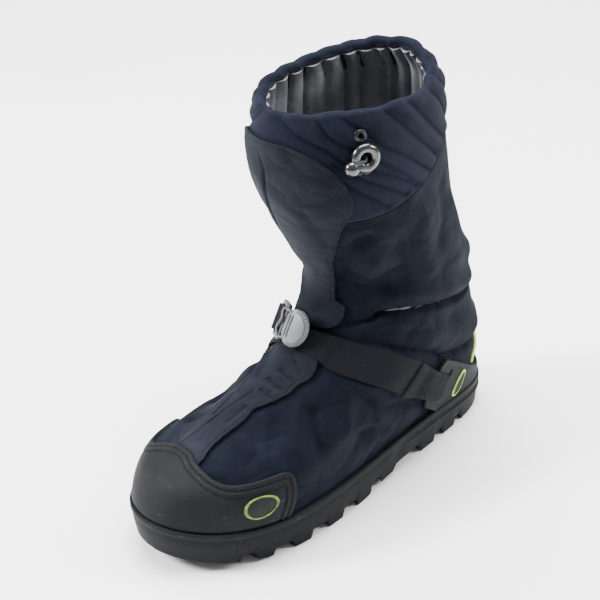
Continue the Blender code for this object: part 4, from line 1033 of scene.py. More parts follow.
def make_cuff(looks):
    columns = 400
    u = math.pi + np.arange(columns) * 2 * math.pi / columns
    shares = np.linspace(0, 1, 100)[:, None]
    seam = seam_section(u)[None, :] - CUFF_LAP
    top = rim_section(u)
    vv = seam + (top - seam) * shares
    uu = np.broadcast_to(u[None, :], vv.shape)
    points = last_point(uu, vv)
    near = np.full(vv.shape, 1.0)
    for path in cuff_lines():
        line_u, line_v = drawn(path)
        distance, _ = distance_to(points, last_point(line_u, line_v))
        near = np.minimum(near, distance)
    edge = np.linalg.norm(points - points[:1], axis=-1)
    rim_gap = np.linalg.norm(points - points[-1:], axis=-1)
    puff = 0.55 * (1 - np.exp(-near / (1.3 * MM))) + 0.45 * (1 - np.exp(-(near / (5.0 * MM)) ** 2))
    rim_roll = 1 - 0.35 * np.exp(-(rim_gap / (5.0 * MM)) ** 2)
    height = (-1.6 + 3.6 * puff * rim_roll) * MM + 0.25 * ripple(uu, vv)
    low_edge = np.exp(-(edge / (2.2 * MM)) ** 2)
    height = height * (1 - low_edge) + 0.3 * MM * low_edge
    outer = surface(uu, vv, height)
    radius = RIM_ROLL_RADIUS
    end_normal = last_normal(u, top)
    upward = last_point(u, top) - last_point(u, top - 0.02)
    upward /= np.linalg.norm(upward, axis=-1, keepdims=True)
    centre = outer[-1] - end_normal * radius
    wave = 0.5 * MM * (np.sin(9 * u) + np.sin(17 * u + 1.0))
    turns = np.radians([12, 25, 38, 52, 66, 80, 94, 108, 122, 138, 154, 168])
    rise = radius * 0.95 + wave
    roll = np.stack([centre + end_normal * radius * math.cos(turn)
                     + upward * (rise * math.sin(turn))[:, None] for turn in turns])
    seam_turn = 10
    flat_v = top[None, :] - np.linspace(0.11, 0.96, 10)[:, None]
    flat_u = np.broadcast_to(u[None, :], flat_v.shape)
    pleats = relief(last_point(flat_u, flat_v), pleat_table(), 0.06)
    inner = surface(flat_u, flat_v, -(2 * radius + 0.1 * MM) - 0.6 * pleats - 0.25 * MM)
    sheet = Sheet()
    whole = np.concatenate([outer, roll[:seam_turn + 1]])
    first = sheet.grid(whole, closed=True)
    # The roll's inner side, the strip under it and the hidden underside take looks[1], the darker copy of the
    # lining, as painted shade under the roll.
    lining = np.concatenate([roll[seam_turn:], inner])
    second = sheet.grid(lining, closed=True, look=1)
    under_v = np.stack([flat_v[-1], seam[0] + CUFF_LAP])
    under_height = np.array([[-(CUFF_THICKNESS + GAP / 2)], [-CUFF_THICKNESS * 0.6]]) * np.ones((2, columns))
    under = surface(np.broadcast_to(u, (2, columns)), under_v, under_height)
    third = sheet.grid(under, closed=True, look=1)
    ring = np.arange(columns + 1) % columns
    sheet.bridge(list(second + (len(lining) - 1) * columns + ring), list(third + ring), 1)
    sheet.bridge(list(third + columns + ring), list(first + ring), 0)
    cuff = sheet.finish("quilted_cuff", [looks["cuff"], looks["lining_painted_shade"]], 60.0)
    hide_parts("collar_cuff")


# Overlays of cloth and rubber

def coons(bottom, top, left, right, columns, rows):
    """Angles and sections of a patch between four drawn edges; left and right run from the bottom up."""
    def at(path, count, crowd):
        share = np.linspace(0, 1, count)
        share = share * (1 - crowd) + crowd * (0.5 - 0.5 * np.cos(math.pi * share))
        u, v = drawn(path, 400)
        ends = np.linspace(0, 1, 400)
        return np.stack([np.interp(share, ends, u), np.interp(share, ends, v)], -1)

    foot = at(bottom, columns, 0.3)
    head = at(top, columns, 0.3)
    start = at(left, rows, 0.5)
    end = at(right, rows, 0.5)
    c = np.linspace(0, 1, columns)
    c = (c * 0.7 + 0.3 * (0.5 - 0.5 * np.cos(math.pi * c)))[None, :, None]
    s = np.linspace(0, 1, rows)
    s = (s * 0.5 + 0.5 * (0.5 - 0.5 * np.cos(math.pi * s)))[:, None, None]
    edges = (1 - s) * foot[None] + s * head[None] + (1 - c) * start[:, None] + c * end[:, None]
    corners = ((1 - s) * ((1 - c) * foot[0] + c * foot[-1]) + s * ((1 - c) * head[0] + c * head[-1]))
    result = edges - corners
    return result[..., 0], result[..., 1]


def eased_edge(distance, radius):
    """Height lost near an edge rounded with a radius."""
    inside = np.clip((radius - distance) / radius, 0, 1)
    return radius * (1 - np.sqrt(1 - inside ** 2))


def groove(distance, place, width):
    return np.exp(-((distance - place) / width) ** 2)


def raised_sheet(name, u, v, height, base, looks, node, smooth_angle=60.0, skirt_look=0,
                 marks=None):
    """An overlay with its face at height over the upper and a skirt down to base; marks take looks[1]."""
    sheet = Sheet()
    face = surface(u, v, height)
    rows, columns = u.shape
    first = sheet.grid(face)
    if marks is not None:
        sheet.face_looks = np.where(marks[:-1, :-1], 1, 0).ravel().tolist()
    foot = surface(u, v, base)
    numbers = border_numbers(0, rows, columns)
    flat = foot.reshape(-1, 3)[numbers]
    sheet.points.append(flat)
    start = sheet.count
    sheet.count += len(flat)
    sheet.bridge([first + k for k in numbers], list(range(start, start + len(flat))), skirt_look)
    item = sheet.finish(name, looks, smooth_angle)
    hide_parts(node)


def rim_path(low, high, count=9):
    """Line just above the sole's rim, on which an overlay begins."""
    return tuple((angle, RIM_START) for angle in np.linspace(low, high, count))


def distance_from_edge(points, edge_u, edge_v):
    distance, _ = distance_to(points, last_point(edge_u, edge_v))
    return np.minimum(distance, LONGEST_REACH)


def make_toe_cap(looks):
    """Rubber cap with two sewn grooves along its border; gives back the line of its edge."""
    top = CAP_TOP_MEDIAL[:0:-1] + CAP_TOP
    reach = CAP_REAR[-1][0]
    right = CAP_REAR[::-1]
    left = CAP_REAR_MEDIAL[::-1]
    u, v = coons(rim_path(-reach, reach), top, left, right, 300, 96)
    points = last_point(u, v)
    outline = CAP_REAR_MEDIAL[:0:-1] + top + CAP_REAR[1:]
    edge_u, edge_v = drawn(outline, step=0.0008)
    distance = distance_from_edge(points, edge_u, edge_v)
    band = ease((CAP_BAND_WIDTH - distance) / (1.0 * MM))
    height = GAP + CAP_THICKNESS + 0.5 * MM * band
    height = height - eased_edge(distance, 1.6 * MM) * 0.95
    outer_line, inner_line = CAP_SEWN_LINES
    sewn = groove(distance, outer_line, CAP_GROOVE_WIDTH) + groove(distance, inner_line, CAP_GROOVE_WIDTH)
    height = height - CAP_GROOVE_DEPTH * sewn
    low = ease((v - 1.0) / 0.20)
    height = height - 1.2 * MM * (1 - low)
    # The bottoms of the sewn grooves take looks[1], the same nearly black look, which darkens them.
    raised_sheet("toe_cap_shell", u, v, height, -SKIRT_DEPTH, [looks["cap"], looks["binding"]],
                 "toe_cap", marks=sewn > CAP_GROOVE_MARK)
    return edge_u, edge_v


def make_counter(looks):
    top = COUNTER_TOP + tuple((360.0 - a, b) for a, b in COUNTER_TOP[::-1][1:])
    low = COUNTER_FRONT[-1][0]
    left = COUNTER_FRONT[::-1]
    right = tuple((360.0 - a, b) for a, b in left)
    u, v = coons(rim_path(low, 360.0 - low), top, left, right, 420, 84)
    points = last_point(u, v)
    outline = COUNTER_FRONT[::-1] + top[1:] + tuple((360.0 - a, b) for a, b in COUNTER_FRONT[1:])
    edge_u, edge_v = drawn(outline, step=0.0008)
    distance = distance_from_edge(points, edge_u, edge_v)
    height = ANCHOR_LIFT + ANCHOR_THICKNESS - eased_edge(distance, 1.5 * MM)
    height = height - 0.5 * MM * ease((distance - 3.2 * MM) / (1.2 * MM))
    for sign in (1, -1):
        path = tuple((a if sign > 0 else 360.0 - a, b) for a, b in SLOT_LINE)
        slot_u, slot_v = drawn(path, step=0.0006)
        gap, _ = distance_to(points, last_point(slot_u, slot_v))
        height = height - SLOT_DEPTH * ease((SLOT_HALF_WIDTH - gap) / (0.7 * MM))
    height = np.maximum(height, -0.3 * MM)
    raised_sheet("heel_counter_shell", u, v, height, -SKIRT_DEPTH, [looks["cap"]],
                 "heel_counter")


def flap_grid(table, columns, rows):
    heights = np.array(table)[:, 0]
    v = np.linspace(heights[0], heights[-1], rows)
    inner, outer = curve_through(table, v)
    shares = np.linspace(0, 1, columns)
    shares = shares * 0.6 + 0.4 * (0.5 - 0.5 * np.cos(math.pi * shares))
    u = np.radians(inner[:, None] + (outer - inner)[:, None] * shares)
    return u, np.broadcast_to(v[:, None], u.shape)


def flap_outline(u, v):
    numbers = border_numbers(0, *u.shape)
    return u.ravel()[numbers], v.ravel()[numbers]


def flap_lift(u, v, extra):
    """Height of a flap's face: over the cloth's folds, higher on the cuff, with folds of its own."""
    over_cuff = ease((v - seam_section(u) + 0.35) / 0.7)
    lift = FLAP_LIFT + FLAP_THICKNESS + cloth_height(u, v) * (1 - over_cuff) + FLAP_RISE_ON_CUFF * over_cuff
    return lift + EXTRA_FOLD_DEPTH * relief(last_point(u, v), extra, 0.2)


def make_flap(name, table, columns, rows, node, extra, looks):
    u, v = flap_grid(table, columns, rows)
    points = last_point(u, v)
    edge_u, edge_v = flap_outline(u, v)
    distance = distance_from_edge(points, edge_u, edge_v)
    height = flap_lift(u, v, extra)
    height = height - 0.8 * eased_edge(distance, 0.9 * MM)
    height = height - 0.35 * MM * groove(distance, FLAP_SEAM_INSET, 0.6 * MM)
    pucker = np.sin(points[..., 2] * 900 + points[..., 1] * 500)
    height = height + 0.30 * MM * pucker * np.exp(-distance / (5 * MM))
    height = np.maximum(height, 0.4 * MM)
    height = height * (1 - 0.75 * ease((cap_top_section(u) + 0.10 - v) / 0.16))
    # The skirt takes looks[1], the nearly black look, as painted shade along the flap's edge.
    raised_sheet(name, u, v, height, -FLAP_SKIRT_DEPTH, [looks["flap"], looks["binding"]],
                 node, 70.0, 1)


# Straps

def strap_lift(angle):
    climb_start, climb_reach = ANCHOR_CLIMB
    descent_start, descent_reach = FLAP_DESCENT
    over_anchor = ease((angle - climb_start) / climb_reach)
    over_flap = ease((descent_start - angle) / descent_reach)
    return STRAP_LIFT + over_anchor * (ANCHOR_THICKNESS + GAP) + over_flap * (FLAP_THICKNESS + FLAP_LIFT)


def strap_points(side, positions, across, lift):
    table = np.array(STRAP)
    index = np.arange(len(table))
    top_u, top_v, low_u, low_v = curve_through(np.column_stack([index, table]), positions)
    angle = top_u[:, None] + (low_u - top_u)[:, None] * across
    v = top_v[:, None] + (low_v - top_v)[:, None] * across
    return surface(np.radians(side * angle), v, strap_lift(angle) + lift)


def webbing_layer(sheet, side, start, end, low, count):
    """Webbing between two positions of the strap's table; low(positions) is its underside's lift."""
    positions = np.linspace(start, end, count)
    across = np.array([0.0, 0.015, 0.05, 0.12, 0.25, 0.4, 0.6, 0.75, 0.88, 0.95, 0.985, 1.0])[None, :]
    round_off = np.array([0.55, 0.2, 0.05, 0, 0, 0, 0, 0, 0, 0.05, 0.2, 0.55])[None, :] * WEBBING_THICKNESS
    base = low(positions)[:, None]
    outer = strap_points(side, positions, across, base + WEBBING_THICKNESS - round_off)
    inner = strap_points(side, positions, across, base + round_off * 0.6)
    first = sheet.grid(outer, flip=side > 0, turned=True)
    second = sheet.grid(inner, flip=side < 0, turned=True)
    sheet.join_borders(first, second, count, across.shape[1])


def make_strap(side, name, node, looks):
    sheet = Sheet()
    end = 8.0 if side > 0 else 9.0

    def base(positions):
        dive = ease((0.42 - positions) / 0.5)
        return -4.6 * MM * dive

    def double(positions):
        dive = ease((0.30 - positions) / 0.42)
        tip = ease((positions - 2.75) / 0.3)
        return WEBBING_THICKNESS + 0.15 * MM - 5.6 * MM * dive - 0.25 * MM * tip

    webbing_layer(sheet, side, 0.0, end, base, 200)
    webbing_layer(sheet, side, 0.0, 3.0, double, 90)
    if side < 0:
        x = np.array([-1.0, -3.0, -6.0, -9.0, -12.0, -14.0, -16.0, -18.4, -19.6, -19.2, -17.0])
        z = np.array([0.6, 1.6, 2.2, 2.6, 3.4, 4.6, 5.0, 4.2, 1.6, -1.0, -2.6])
        line = smooth_path(np.column_stack([x, z]), 60) * MM
        y = np.linspace(-9.6, 9.6, 14) * MM
        way = np.gradient(line, axis=0)
        way /= np.linalg.norm(way, axis=1, keepdims=True)
        out = np.column_stack([way[:, 1], -way[:, 0]])
        out *= np.sign(out[0, 1])
        layers = []
        for lift in (0.75 * MM, -0.75 * MM):
            moved = line + out * lift
            layers.append(np.stack([np.repeat(moved[:, :1], len(y), 1), np.repeat(y[None, :], len(moved), 0),
                                    np.repeat(moved[:, 1:], len(y), 1)], -1))
        first = sheet.grid(over_instep(layers[0]), turned=True)
        second = sheet.grid(over_instep(layers[1]), turned=True, flip=True)
        sheet.join_borders(first, second, len(line), len(y))
    rows = [[(2.86, 0.10), (2.86, 0.90)], [(1.35, 0.10), (1.35, 0.90)], [(1.35, 0.10), (2.86, 0.10)],
            [(1.35, 0.90), (2.86, 0.90)], [(1.35, 0.10), (2.86, 0.90)], [(1.35, 0.90), (2.86, 0.10)],
            [(0.95, 0.12), (0.95, 0.88)]]
    for (s0, a0), (s1, a1) in rows:
        count = 12 if abs(s1 - s0) > 0.5 else 8
        share = np.linspace(0, 1, count + 1)
        for a, b in zip(share, share[1:]):
            at = np.linspace(a + 0.12 * (b - a), b - 0.12 * (b - a), 4)
            points = []
            for k, t in enumerate(at):
                lift = 2 * WEBBING_THICKNESS + (0.05 + 0.25 * math.sin(math.pi * k / 3)) * MM
                position = np.array([s0 + (s1 - s0) * t])
                across = np.array([[a0 + (a1 - a0) * t]])
                points.append(strap_points(side, position, across, lift)[0, 0])
            add_tube(sheet, points, 0.38 * MM, 6, 1)
    strap = sheet.finish(name, [looks["webbing"], looks["thread"]], 60.0)
    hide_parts(node)


def stitches(sheet, u, v, lift, pitch, size):
    """Short threads along a line on the shoe, with lift as their height over it."""
    points = surface(u, v, lift)
    length = np.concatenate([[0], np.cumsum(np.linalg.norm(np.diff(points, axis=0), axis=1))])
    count = int(length[-1] / pitch)
    for k in range(count):
        at = (np.array([0.12, 0.38, 0.62, 0.88]) + k) * pitch
        line = np.stack([np.interp(at, length, points[:, axis]) for axis in range(3)], -1)
        add_tube(sheet, line, size, 6)


# Sole

def groove_share(y, centre, length, slope):
    """1 inside a groove across the sole, falling to 0 over its slanted sides."""
    half = length * LENGTH / 4
    return np.clip((half + slope / 2 - np.abs(y - centre * LENGTH / 2)) / slope, 0, 1)


def tread_height(x, y, at_edge):
    """Bottom of the tread at plan points, with its lugs, channels and arch."""
    ground = ground_height(y)
    edge = np.zeros_like(y)
    for centre, length in EDGE_GROOVES:
        edge = np.maximum(edge, groove_share(y, centre, length, EDGE_SLOPE))
    outer = 1.0 if at_edge else ease((np.abs(x) - CENTRE_BAND + 1.0 * MM) / (2.0 * MM))
    cut = edge * outer * LUG_DEPTH
    if not at_edge:
        band = ease((CENTRE_BAND - CHANNEL_WIDTH / 2 - np.abs(x)) / (1.2 * MM))
        for centre in CENTRE_GROOVES:
            across = groove_share(y, centre, 2 * CENTRE_GROOVE_LENGTH, 1.6 * MM)
            cut = np.maximum(cut, across * band * LUG_DEPTH * CENTRE_GROOVE_SHARE)
        for start, end in CHANNELS:
            inside = ease((y - start * LENGTH / 2) / (2 * MM)) * ease((end * LENGTH / 2 - y) / (2 * MM))
            beside = ease((CHANNEL_WIDTH / 2 + 0.5 * MM - np.abs(np.abs(x) - CENTRE_BAND)) / (1.2 * MM))
            cut = np.maximum(cut, inside * beside * LUG_DEPTH * CHANNEL_SHARE)
        ribs = TREAD_RIB * (np.sin(y / (1.15 * MM)) > 0.72)
        cut = np.where(cut < 0.3 * MM, ribs * (np.abs(x) > 4 * MM), cut)
    arch = groove_share(y, *ARCH_GROOVE, ARCH_SLOPE)
    result = ground + cut
    arched = ground + (ARCH_RISE + ARCH_GROOVE_DEPTH - ground) * arch
    return np.where(arch > 0, np.maximum(result, arched), result)


def make_sole(looks):
    half = LENGTH / 2
    marks = []
    for centre, length in EDGE_GROOVES + (ARCH_GROOVE,):
        slope = ARCH_SLOPE if (centre, length) == ARCH_GROOVE else EDGE_SLOPE
        for edge in (-1, 1):
            middle = centre * half + edge * length * half / 2
            marks += [middle - slope / 2, middle - slope / 2 + 0.25 * MM, middle,
                      middle + slope / 2 - 0.25 * MM, middle + slope / 2]
    even = half * -np.cos(np.linspace(0, math.pi, 190))
    y = np.unique(np.round(np.concatenate([even[1:-1], marks]), 5))
    y = y[np.concatenate([[True], np.diff(y) > 0.12 * MM])]
    one_side = np.arccos(-y / half)
    u = np.concatenate([[0.0], one_side, [math.pi], 2 * math.pi - one_side[::-1]])
    columns = len(u)
    rim = rim_height(u)
    heel = ease((along(u) - HEEL_RAIL_START) / HEEL_RAIL_BLEND)
    rail = BEAD_STEP * (1.0 - heel)
    plan_y = sole_outline(u)[:, 1]
    plan_x = sole_outline(u)[:, 0]
    bottom = tread_height(plan_x, plan_y, True)
    side_recess = 1.3 * MM * ease(1 - np.abs(plan_y - 34 * MM) / (13 * MM))
    profile = [(RIM_WALL, rim - 3.0 * MM),
               (RIM_WALL, rim - 0.5 * MM),
               (RIM_WALL - 0.5 * MM, rim),
               (BEAD_STEP + 0.3 * MM, rim),
               (BEAD_STEP * 0.6, rim - 0.15 * MM),
               (BEAD_STEP * 0.2, rim - 0.5 * MM),
               (0.0, rim - 1.1 * MM),
               (0.0, rim - BEAD_HEIGHT + 0.8 * MM),
               (BEAD_STEP * 0.25, rim - BEAD_HEIGHT + 0.2 * MM),
               (BEAD_STEP * 0.85, rim - BEAD_HEIGHT - 0.25 * MM),
               (BEAD_STEP + 0.25 * MM, rim - BEAD_HEIGHT - 0.9 * MM),
               (BEAD_STEP + 0.1 * MM + side_recess * 0.3, rim - RAIL_DROP + 1.9 * MM),
               (rail + 0.3 * MM * heel + side_recess * 0.5, rim - RAIL_DROP + 1.0 * MM),
               (rail + side_recess * 0.7, rim - RAIL_DROP + 0.3 * MM),
               (rail + side_recess * 0.8, rim - RAIL_DROP - 0.6 * MM),
               (rail * 1.0 + 0.3 * MM * heel + side_recess, rim - RAIL_DROP - 1.5 * MM),
               (BEAD_STEP + 0.1 * MM + side_recess, rim - RAIL_DROP - 2.4 * MM)]
    start_z = profile[-1][1]
    for share in (0.15, 0.32, 0.5, 0.68, 0.84, 0.93):
        inset = BEAD_STEP + (SIDE_DRAFT - BEAD_STEP) * share + side_recess * (1 - share)
        profile.append((inset, start_z + (bottom + 0.9 * MM - start_z) * share))
    profile += [(SIDE_DRAFT, bottom + 0.9 * MM), (SIDE_DRAFT + 0.2 * MM, bottom + 0.4 * MM),
                (SIDE_DRAFT + 0.9 * MM, bottom)]
    loops = []
    for inset, z in profile:
        inset = np.broadcast_to(np.asarray(inset, float), u.shape)
        loops.append(np.concatenate([sole_outline(u, inset), np.broadcast_to(z, u.shape)[:, None]], -1))
    edge = loops[-1]
    middle_x = (edge[:, 0] + edge[(-np.arange(columns)) % columns, 0]) / 2
    width = np.abs(edge[:, 0] - middle_x)
    for distance in np.concatenate([np.linspace(0.04, 0.96, 40), [1.0]]):
        x = edge[:, 0] + (middle_x - edge[:, 0]) * distance
        z = tread_height(x, edge[:, 1], False)
        z = z * ease(width / (3 * MM)) + edge[:, 2] * (1 - ease(width / (3 * MM)))
        loops.append(np.stack([x, edge[:, 1], z], -1))
    sheet = Sheet()
    sheet.grid(np.stack(loops), closed=True, flip=True)
    # the cup's floor under the insole
    floor_z = (floor_height(plan_y) - 0.5 * MM)[:, None]
    inner = np.concatenate([sole_outline(u, np.full_like(u, RIM_WALL)), floor_z], -1)
    rows = [loops[0], inner]
    for share in (0.5, 1.0):
        flat = inner.copy()
        flat[:, 0] = inner[:, 0] + (middle_x - inner[:, 0]) * share
        rows.append(flat)
    sheet.grid(np.stack(rows), closed=True)
    sole = sheet.finish("outsole_shell", [looks["sole"]], 32.0)
    merge = bmesh.new()
    merge.from_mesh(sole.data)
    bmesh.ops.remove_doubles(merge, verts=merge.verts, dist=1e-6)
    bmesh.ops.dissolve_degenerate(merge, edges=merge.edges, dist=1e-6)
    bmesh.ops.recalc_face_normals(merge, faces=merge.faces)
    merge.to_mesh(sole.data)
    merge.free()
    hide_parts("outsole")


def make_insole(looks):
    columns = 180
    u = np.arange(columns) * 2 * math.pi / columns
    clear = RIM_WALL + GAP + WALL + INSOLE_PLAY + 1.9 * MM
    loops = []
    for inset, rise in ((clear, 0.0), (clear, 2.6 * MM), (clear + 0.4 * MM, 3.5 * MM),
                        (clear + 1.4 * MM, INSOLE_THICKNESS)):
        plan = sole_outline(u, np.full_like(u, inset))
        loops.append(np.concatenate([plan, (floor_height(plan[:, 1]) + GAP + rise)[:, None]], -1))
    edge = loops[-1]
    middle_x = (edge[:, 0] + edge[(-np.arange(columns)) % columns, 0]) / 2
    for share in (0.15, 0.4, 0.7, 1.0):
        x = edge[:, 0] + (middle_x - edge[:, 0]) * share
        dish = 0.8 * MM * share
        z = edge[:, 2] - dish * ease((np.abs(edge[:, 0] - middle_x)) / (20 * MM))
        loops.append(np.stack([x, edge[:, 1], z], -1))
    sheet = Sheet()
    sheet.grid(np.stack(loops), closed=True)
    insole = sheet.finish("insole_felt_bed", [looks["felt"]], 50.0)
    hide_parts("insole")


# Badges, piping, buckle and collar cord

def local_disc(centre, half_length, half_height, turn, rings, spokes):
    u0, v0 = math.radians(centre[0]), centre[1]
    step = 1e-3
    along_u = (last_point(u0 + step, v0) - last_point(u0 - step, v0)) / (2 * step)
    along_v = (last_point(u0, v0 + step) - last_point(u0, v0 - step)) / (2 * step)
    normal = last_normal(u0, v0)
    across = along_u / np.linalg.norm(along_u)
    upright = np.cross(normal, across)
    inverse = np.linalg.inv(np.array([[along_u @ across, along_v @ across],
                                      [along_u @ upright, along_v @ upright]]))
    spin = math.radians(turn)
    a = half_length * rings[:, None] * np.cos(spokes[None, :])
    b = half_height * rings[:, None] * np.sin(spokes[None, :])
    x = a * math.cos(spin) - b * math.sin(spin)
    y = a * math.sin(spin) + b * math.cos(spin)
    return u0 + inverse[0, 0] * x + inverse[0, 1] * y, v0 + inverse[1, 0] * x + inverse[1, 1] * y


def make_badge(name, badge, base, node, face_look, rim_look):
    """Bare oval badge: a raised rim round a slightly domed plain face."""
    angle, section, half_length, half_height, turn = badge
    rings = np.array([0.02, 0.2, 0.4, 0.6, 0.74, 0.80, 0.84, 0.88, 0.93, 0.97, 1.0, 1.0])
    rise = np.array([0.75, 0.73, 0.68, 0.60, 0.54, 0.55, 0.95, 1.10, 1.10, 0.85, 0.45, -1.2]) * MM
    spokes = np.arange(72) * 2 * math.pi / 72
    u, v = local_disc((angle, section), half_length, half_height, turn, rings, spokes)
    sheet = Sheet()
    points = surface(u, v, (base + rise)[:, None])
    sheet.grid(points[:7], closed=True, flip=True)
    sheet.grid(points[6:], closed=True, flip=True, look=1)
    sheet.cap(list(range(len(spokes))))
    item = sheet.finish(name, [face_look, rim_look], 50.0)
    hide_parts(node)


def make_piping(looks):
    table = PIPING + tuple((360.0 - a, b) for a, b in PIPING[::-1][1:])
    u, v = drawn(table, 90)
    path = surface(u, v, 0.9 * MM + np.maximum(cloth_height(u, v), 0))
    sheet = Sheet()
    add_tube(sheet, path, 1.15 * MM, 12)
    item = sheet.finish("heel_piping_cord", [looks["lime"]], 60.0)
    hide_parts("heel_piping")


def buckle_axes():
    u0, v0 = math.radians(BUCKLE_CENTRE[0]), BUCKLE_CENTRE[1]
    normal = last_normal(u0, v0)
    far = last_point(math.radians(STRAP[-3][0]), (STRAP[-3][1] + STRAP[-3][3]) / 2)
    across = far - last_point(u0, v0)
    across = across - normal * across.dot(normal)
    across /= np.linalg.norm(across)
    upward = np.cross(normal, across)
    tilt = math.radians(BUCKLE_TILT)
    tilted_up = upward * math.cos(tilt) + normal * math.sin(tilt)
    tilted_normal = normal * math.cos(tilt) - upward * math.sin(tilt)
    return last_point(u0, v0) + normal * BUCKLE_BASE, across, tilted_up, tilted_normal


def over_instep(points):
    """Moves flat buckle points (x along the strap, y up the ridge, z outwards) onto the bent instep."""
    origin, across, upward, normal = buckle_axes()
    x, y, z = np.moveaxis(points, -1, 0)
    bend = np.where(x < 0, BUCKLE_RADIUS_MEDIAL, BUCKLE_RADIUS)
    radius = bend + z
    angle = x / bend
    return (origin + across * (radius * np.sin(angle))[..., None]
            + normal * (radius * np.cos(angle) - bend)[..., None] + upward * y[..., None])


def rounded_loop(half_x, half_y, corner, steps=8):
    points = []
    for quarter, (sx, sy) in enumerate(((1, 1), (-1, 1), (-1, -1), (1, -1))):
        for k in range(steps + 1):
            angle = math.radians(90 * quarter + 90 * k / steps)
            points.append((sx * (half_x - corner) + corner * math.cos(angle),
                           sy * (half_y - corner) + corner * math.sin(angle)))
    return np.array(points)


def make_buckle_frame(looks):
    """Rectangular ring with round-edged bars, and the wavy bar that the lever hinges on."""
    sheet = Sheet()
    half_x, half_y, corner = 9.6, 14.0, 3.0
    centre = -9.4
    profile = ((0.0, 0.6), (0.0, 2.6), (0.35, 3.3), (1.0, 3.6), (2.0, 3.6), (2.6, 3.3), (2.9, 2.6),
               (2.9, 0.6), (2.4, 0.0), (0.6, 0.0))
    rows = []
    for inset, z in profile:
        loop = rounded_loop(half_x - inset, half_y - inset, max(corner - inset, 1.0))
        rows.append(np.column_stack([loop[:, 0] + centre, loop[:, 1], np.full(len(loop), z)]) * MM)
    rows.append(rows[0])
    sheet.grid(over_instep(np.stack(rows)), closed=True)
    bar = smooth_path(((-0.4, -12.6, 3.2), (-2.6, -9.6, 4.0), (-4.2, -5.6, 4.6), (-2.4, -1.2, 5.0),
                       (-1.2, 3.0, 5.0), (-3.6, 7.2, 4.6), (-2.6, 10.8, 4.0), (0.2, 12.6, 3.2)), 60) * MM
    add_tube(sheet, over_instep(bar), 1.25 * MM, 12)
    for y in (-10.6, 10.6):
        ear = smooth_path(((-3.4, y, 2.4), (-1.0, y, 3.8), (1.6, y, 4.2), (4.6, y * 0.95, 3.2)), 16) * MM
        add_tube(sheet, over_instep(ear), np.linspace(1.5, 1.2, 16) * MM, 10)
    item = sheet.finish("buckle_frame_ring", [looks["buckle"]], 45.0)
    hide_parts("buckle_frame")


def make_buckle_lever(looks):
    """Domed oval lever with a straight inner edge, two slots beside it and ribs round its outer edge."""
    centre = 10.9 * MM
    half_x, half_y = 11.2 * MM, 14.2 * MM
    spokes = np.arange(288) * 2 * math.pi / 288
    rings = np.concatenate([np.linspace(0.02, 0.80, 30),
                            [0.83, 0.86, 0.89, 0.92, 0.945, 0.965, 0.98, 0.99, 1.0, 1.0, 0.97, 0.7]])
    flat_edge = -9.6 * MM
    oval = 1 / np.sqrt((np.cos(spokes) / half_x) ** 2 + (np.sin(spokes) / half_y) ** 2)
    straight = np.where(np.cos(spokes) < -0.05, flat_edge / np.minimum(np.cos(spokes), -0.05), 1.0)
    blend = 3000
    reach = -np.log(np.exp(-oval * blend) + np.exp(-straight * blend)) / blend
    ribbed = ease((np.cos(spokes) + 0.35) / 0.4)
    x = rings[:, None] * reach * np.cos(spokes)
    y = rings[:, None] * reach * np.sin(spokes)
    share = rings[:, None] * np.ones_like(spokes)
    z = 4.8 * MM - 1.0 * MM * share ** 2
    z = z - 0.6 * MM * groove(share, 0.80, 0.018) * ribbed
    for place in (-5.6, -3.0):
        curve_x = place * MM + 1.0 * MM * (y / half_y) ** 2
        slot_mask = ease((8.8 * MM - np.abs(y)) / (1.5 * MM))
        z = z - 1.6 * MM * ease((0.60 * MM - np.abs(x - curve_x)) / (0.35 * MM)) * slot_mask
    waves = np.sin(spokes * 40)
    teeth = 0.5 + 0.5 * np.sign(waves) * np.abs(waves) ** 0.4
    outer_zone = ease((share - 0.83) / 0.06)
    z = z - 0.8 * MM * teeth * ribbed * outer_zone
    x = x * (1 - 0.035 * teeth * ribbed * outer_zone)
    y = y * (1 - 0.035 * teeth * ribbed * outer_zone)
    edge_drop = np.zeros(len(rings))
    edge_drop[-6:] = np.array([0.25, 0.7, 1.3, 3.0, 3.6, 3.7]) * MM
    z = z - edge_drop[:, None]
    points = np.stack([x + centre, y, z], -1)
    sheet = Sheet()
    sheet.grid(over_instep(points), closed=True)
    sheet.cap(list(range(len(spokes)))[::-1])
    item = sheet.finish("buckle_lever_disc", [looks["lever"]], 40.0)
    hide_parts("buckle_lever")


def axes_on_cuff(place):
    u0, v0 = math.radians(place[0]), place[1]
    normal = last_normal(u0, v0)
    upward = np.array([0, 0, 1.0]) - normal * normal[2]
    upward /= np.linalg.norm(upward)
    return last_point(u0, v0), np.cross(upward, normal), upward, normal


def placed(points, place, lift):
    """Points given sideways, up and outwards, moved to a place on the cuff."""
    origin, sideways, upward, normal = axes_on_cuff(place)
    points = np.asarray(points, float)
    return (origin + sideways * points[..., :1] + upward * points[..., 1:2]
            + normal * (points[..., 2:3] + lift))


def ring_points(profile, steps):
    """Points of a ring turned round z; profile holds (radius, height) pairs."""
    turn = np.arange(steps) * 2 * math.pi / steps
    rings = [np.stack([radius * np.cos(turn), radius * np.sin(turn), np.full(steps, height)], -1)
             for radius, height in profile]
    return np.stack(rings)


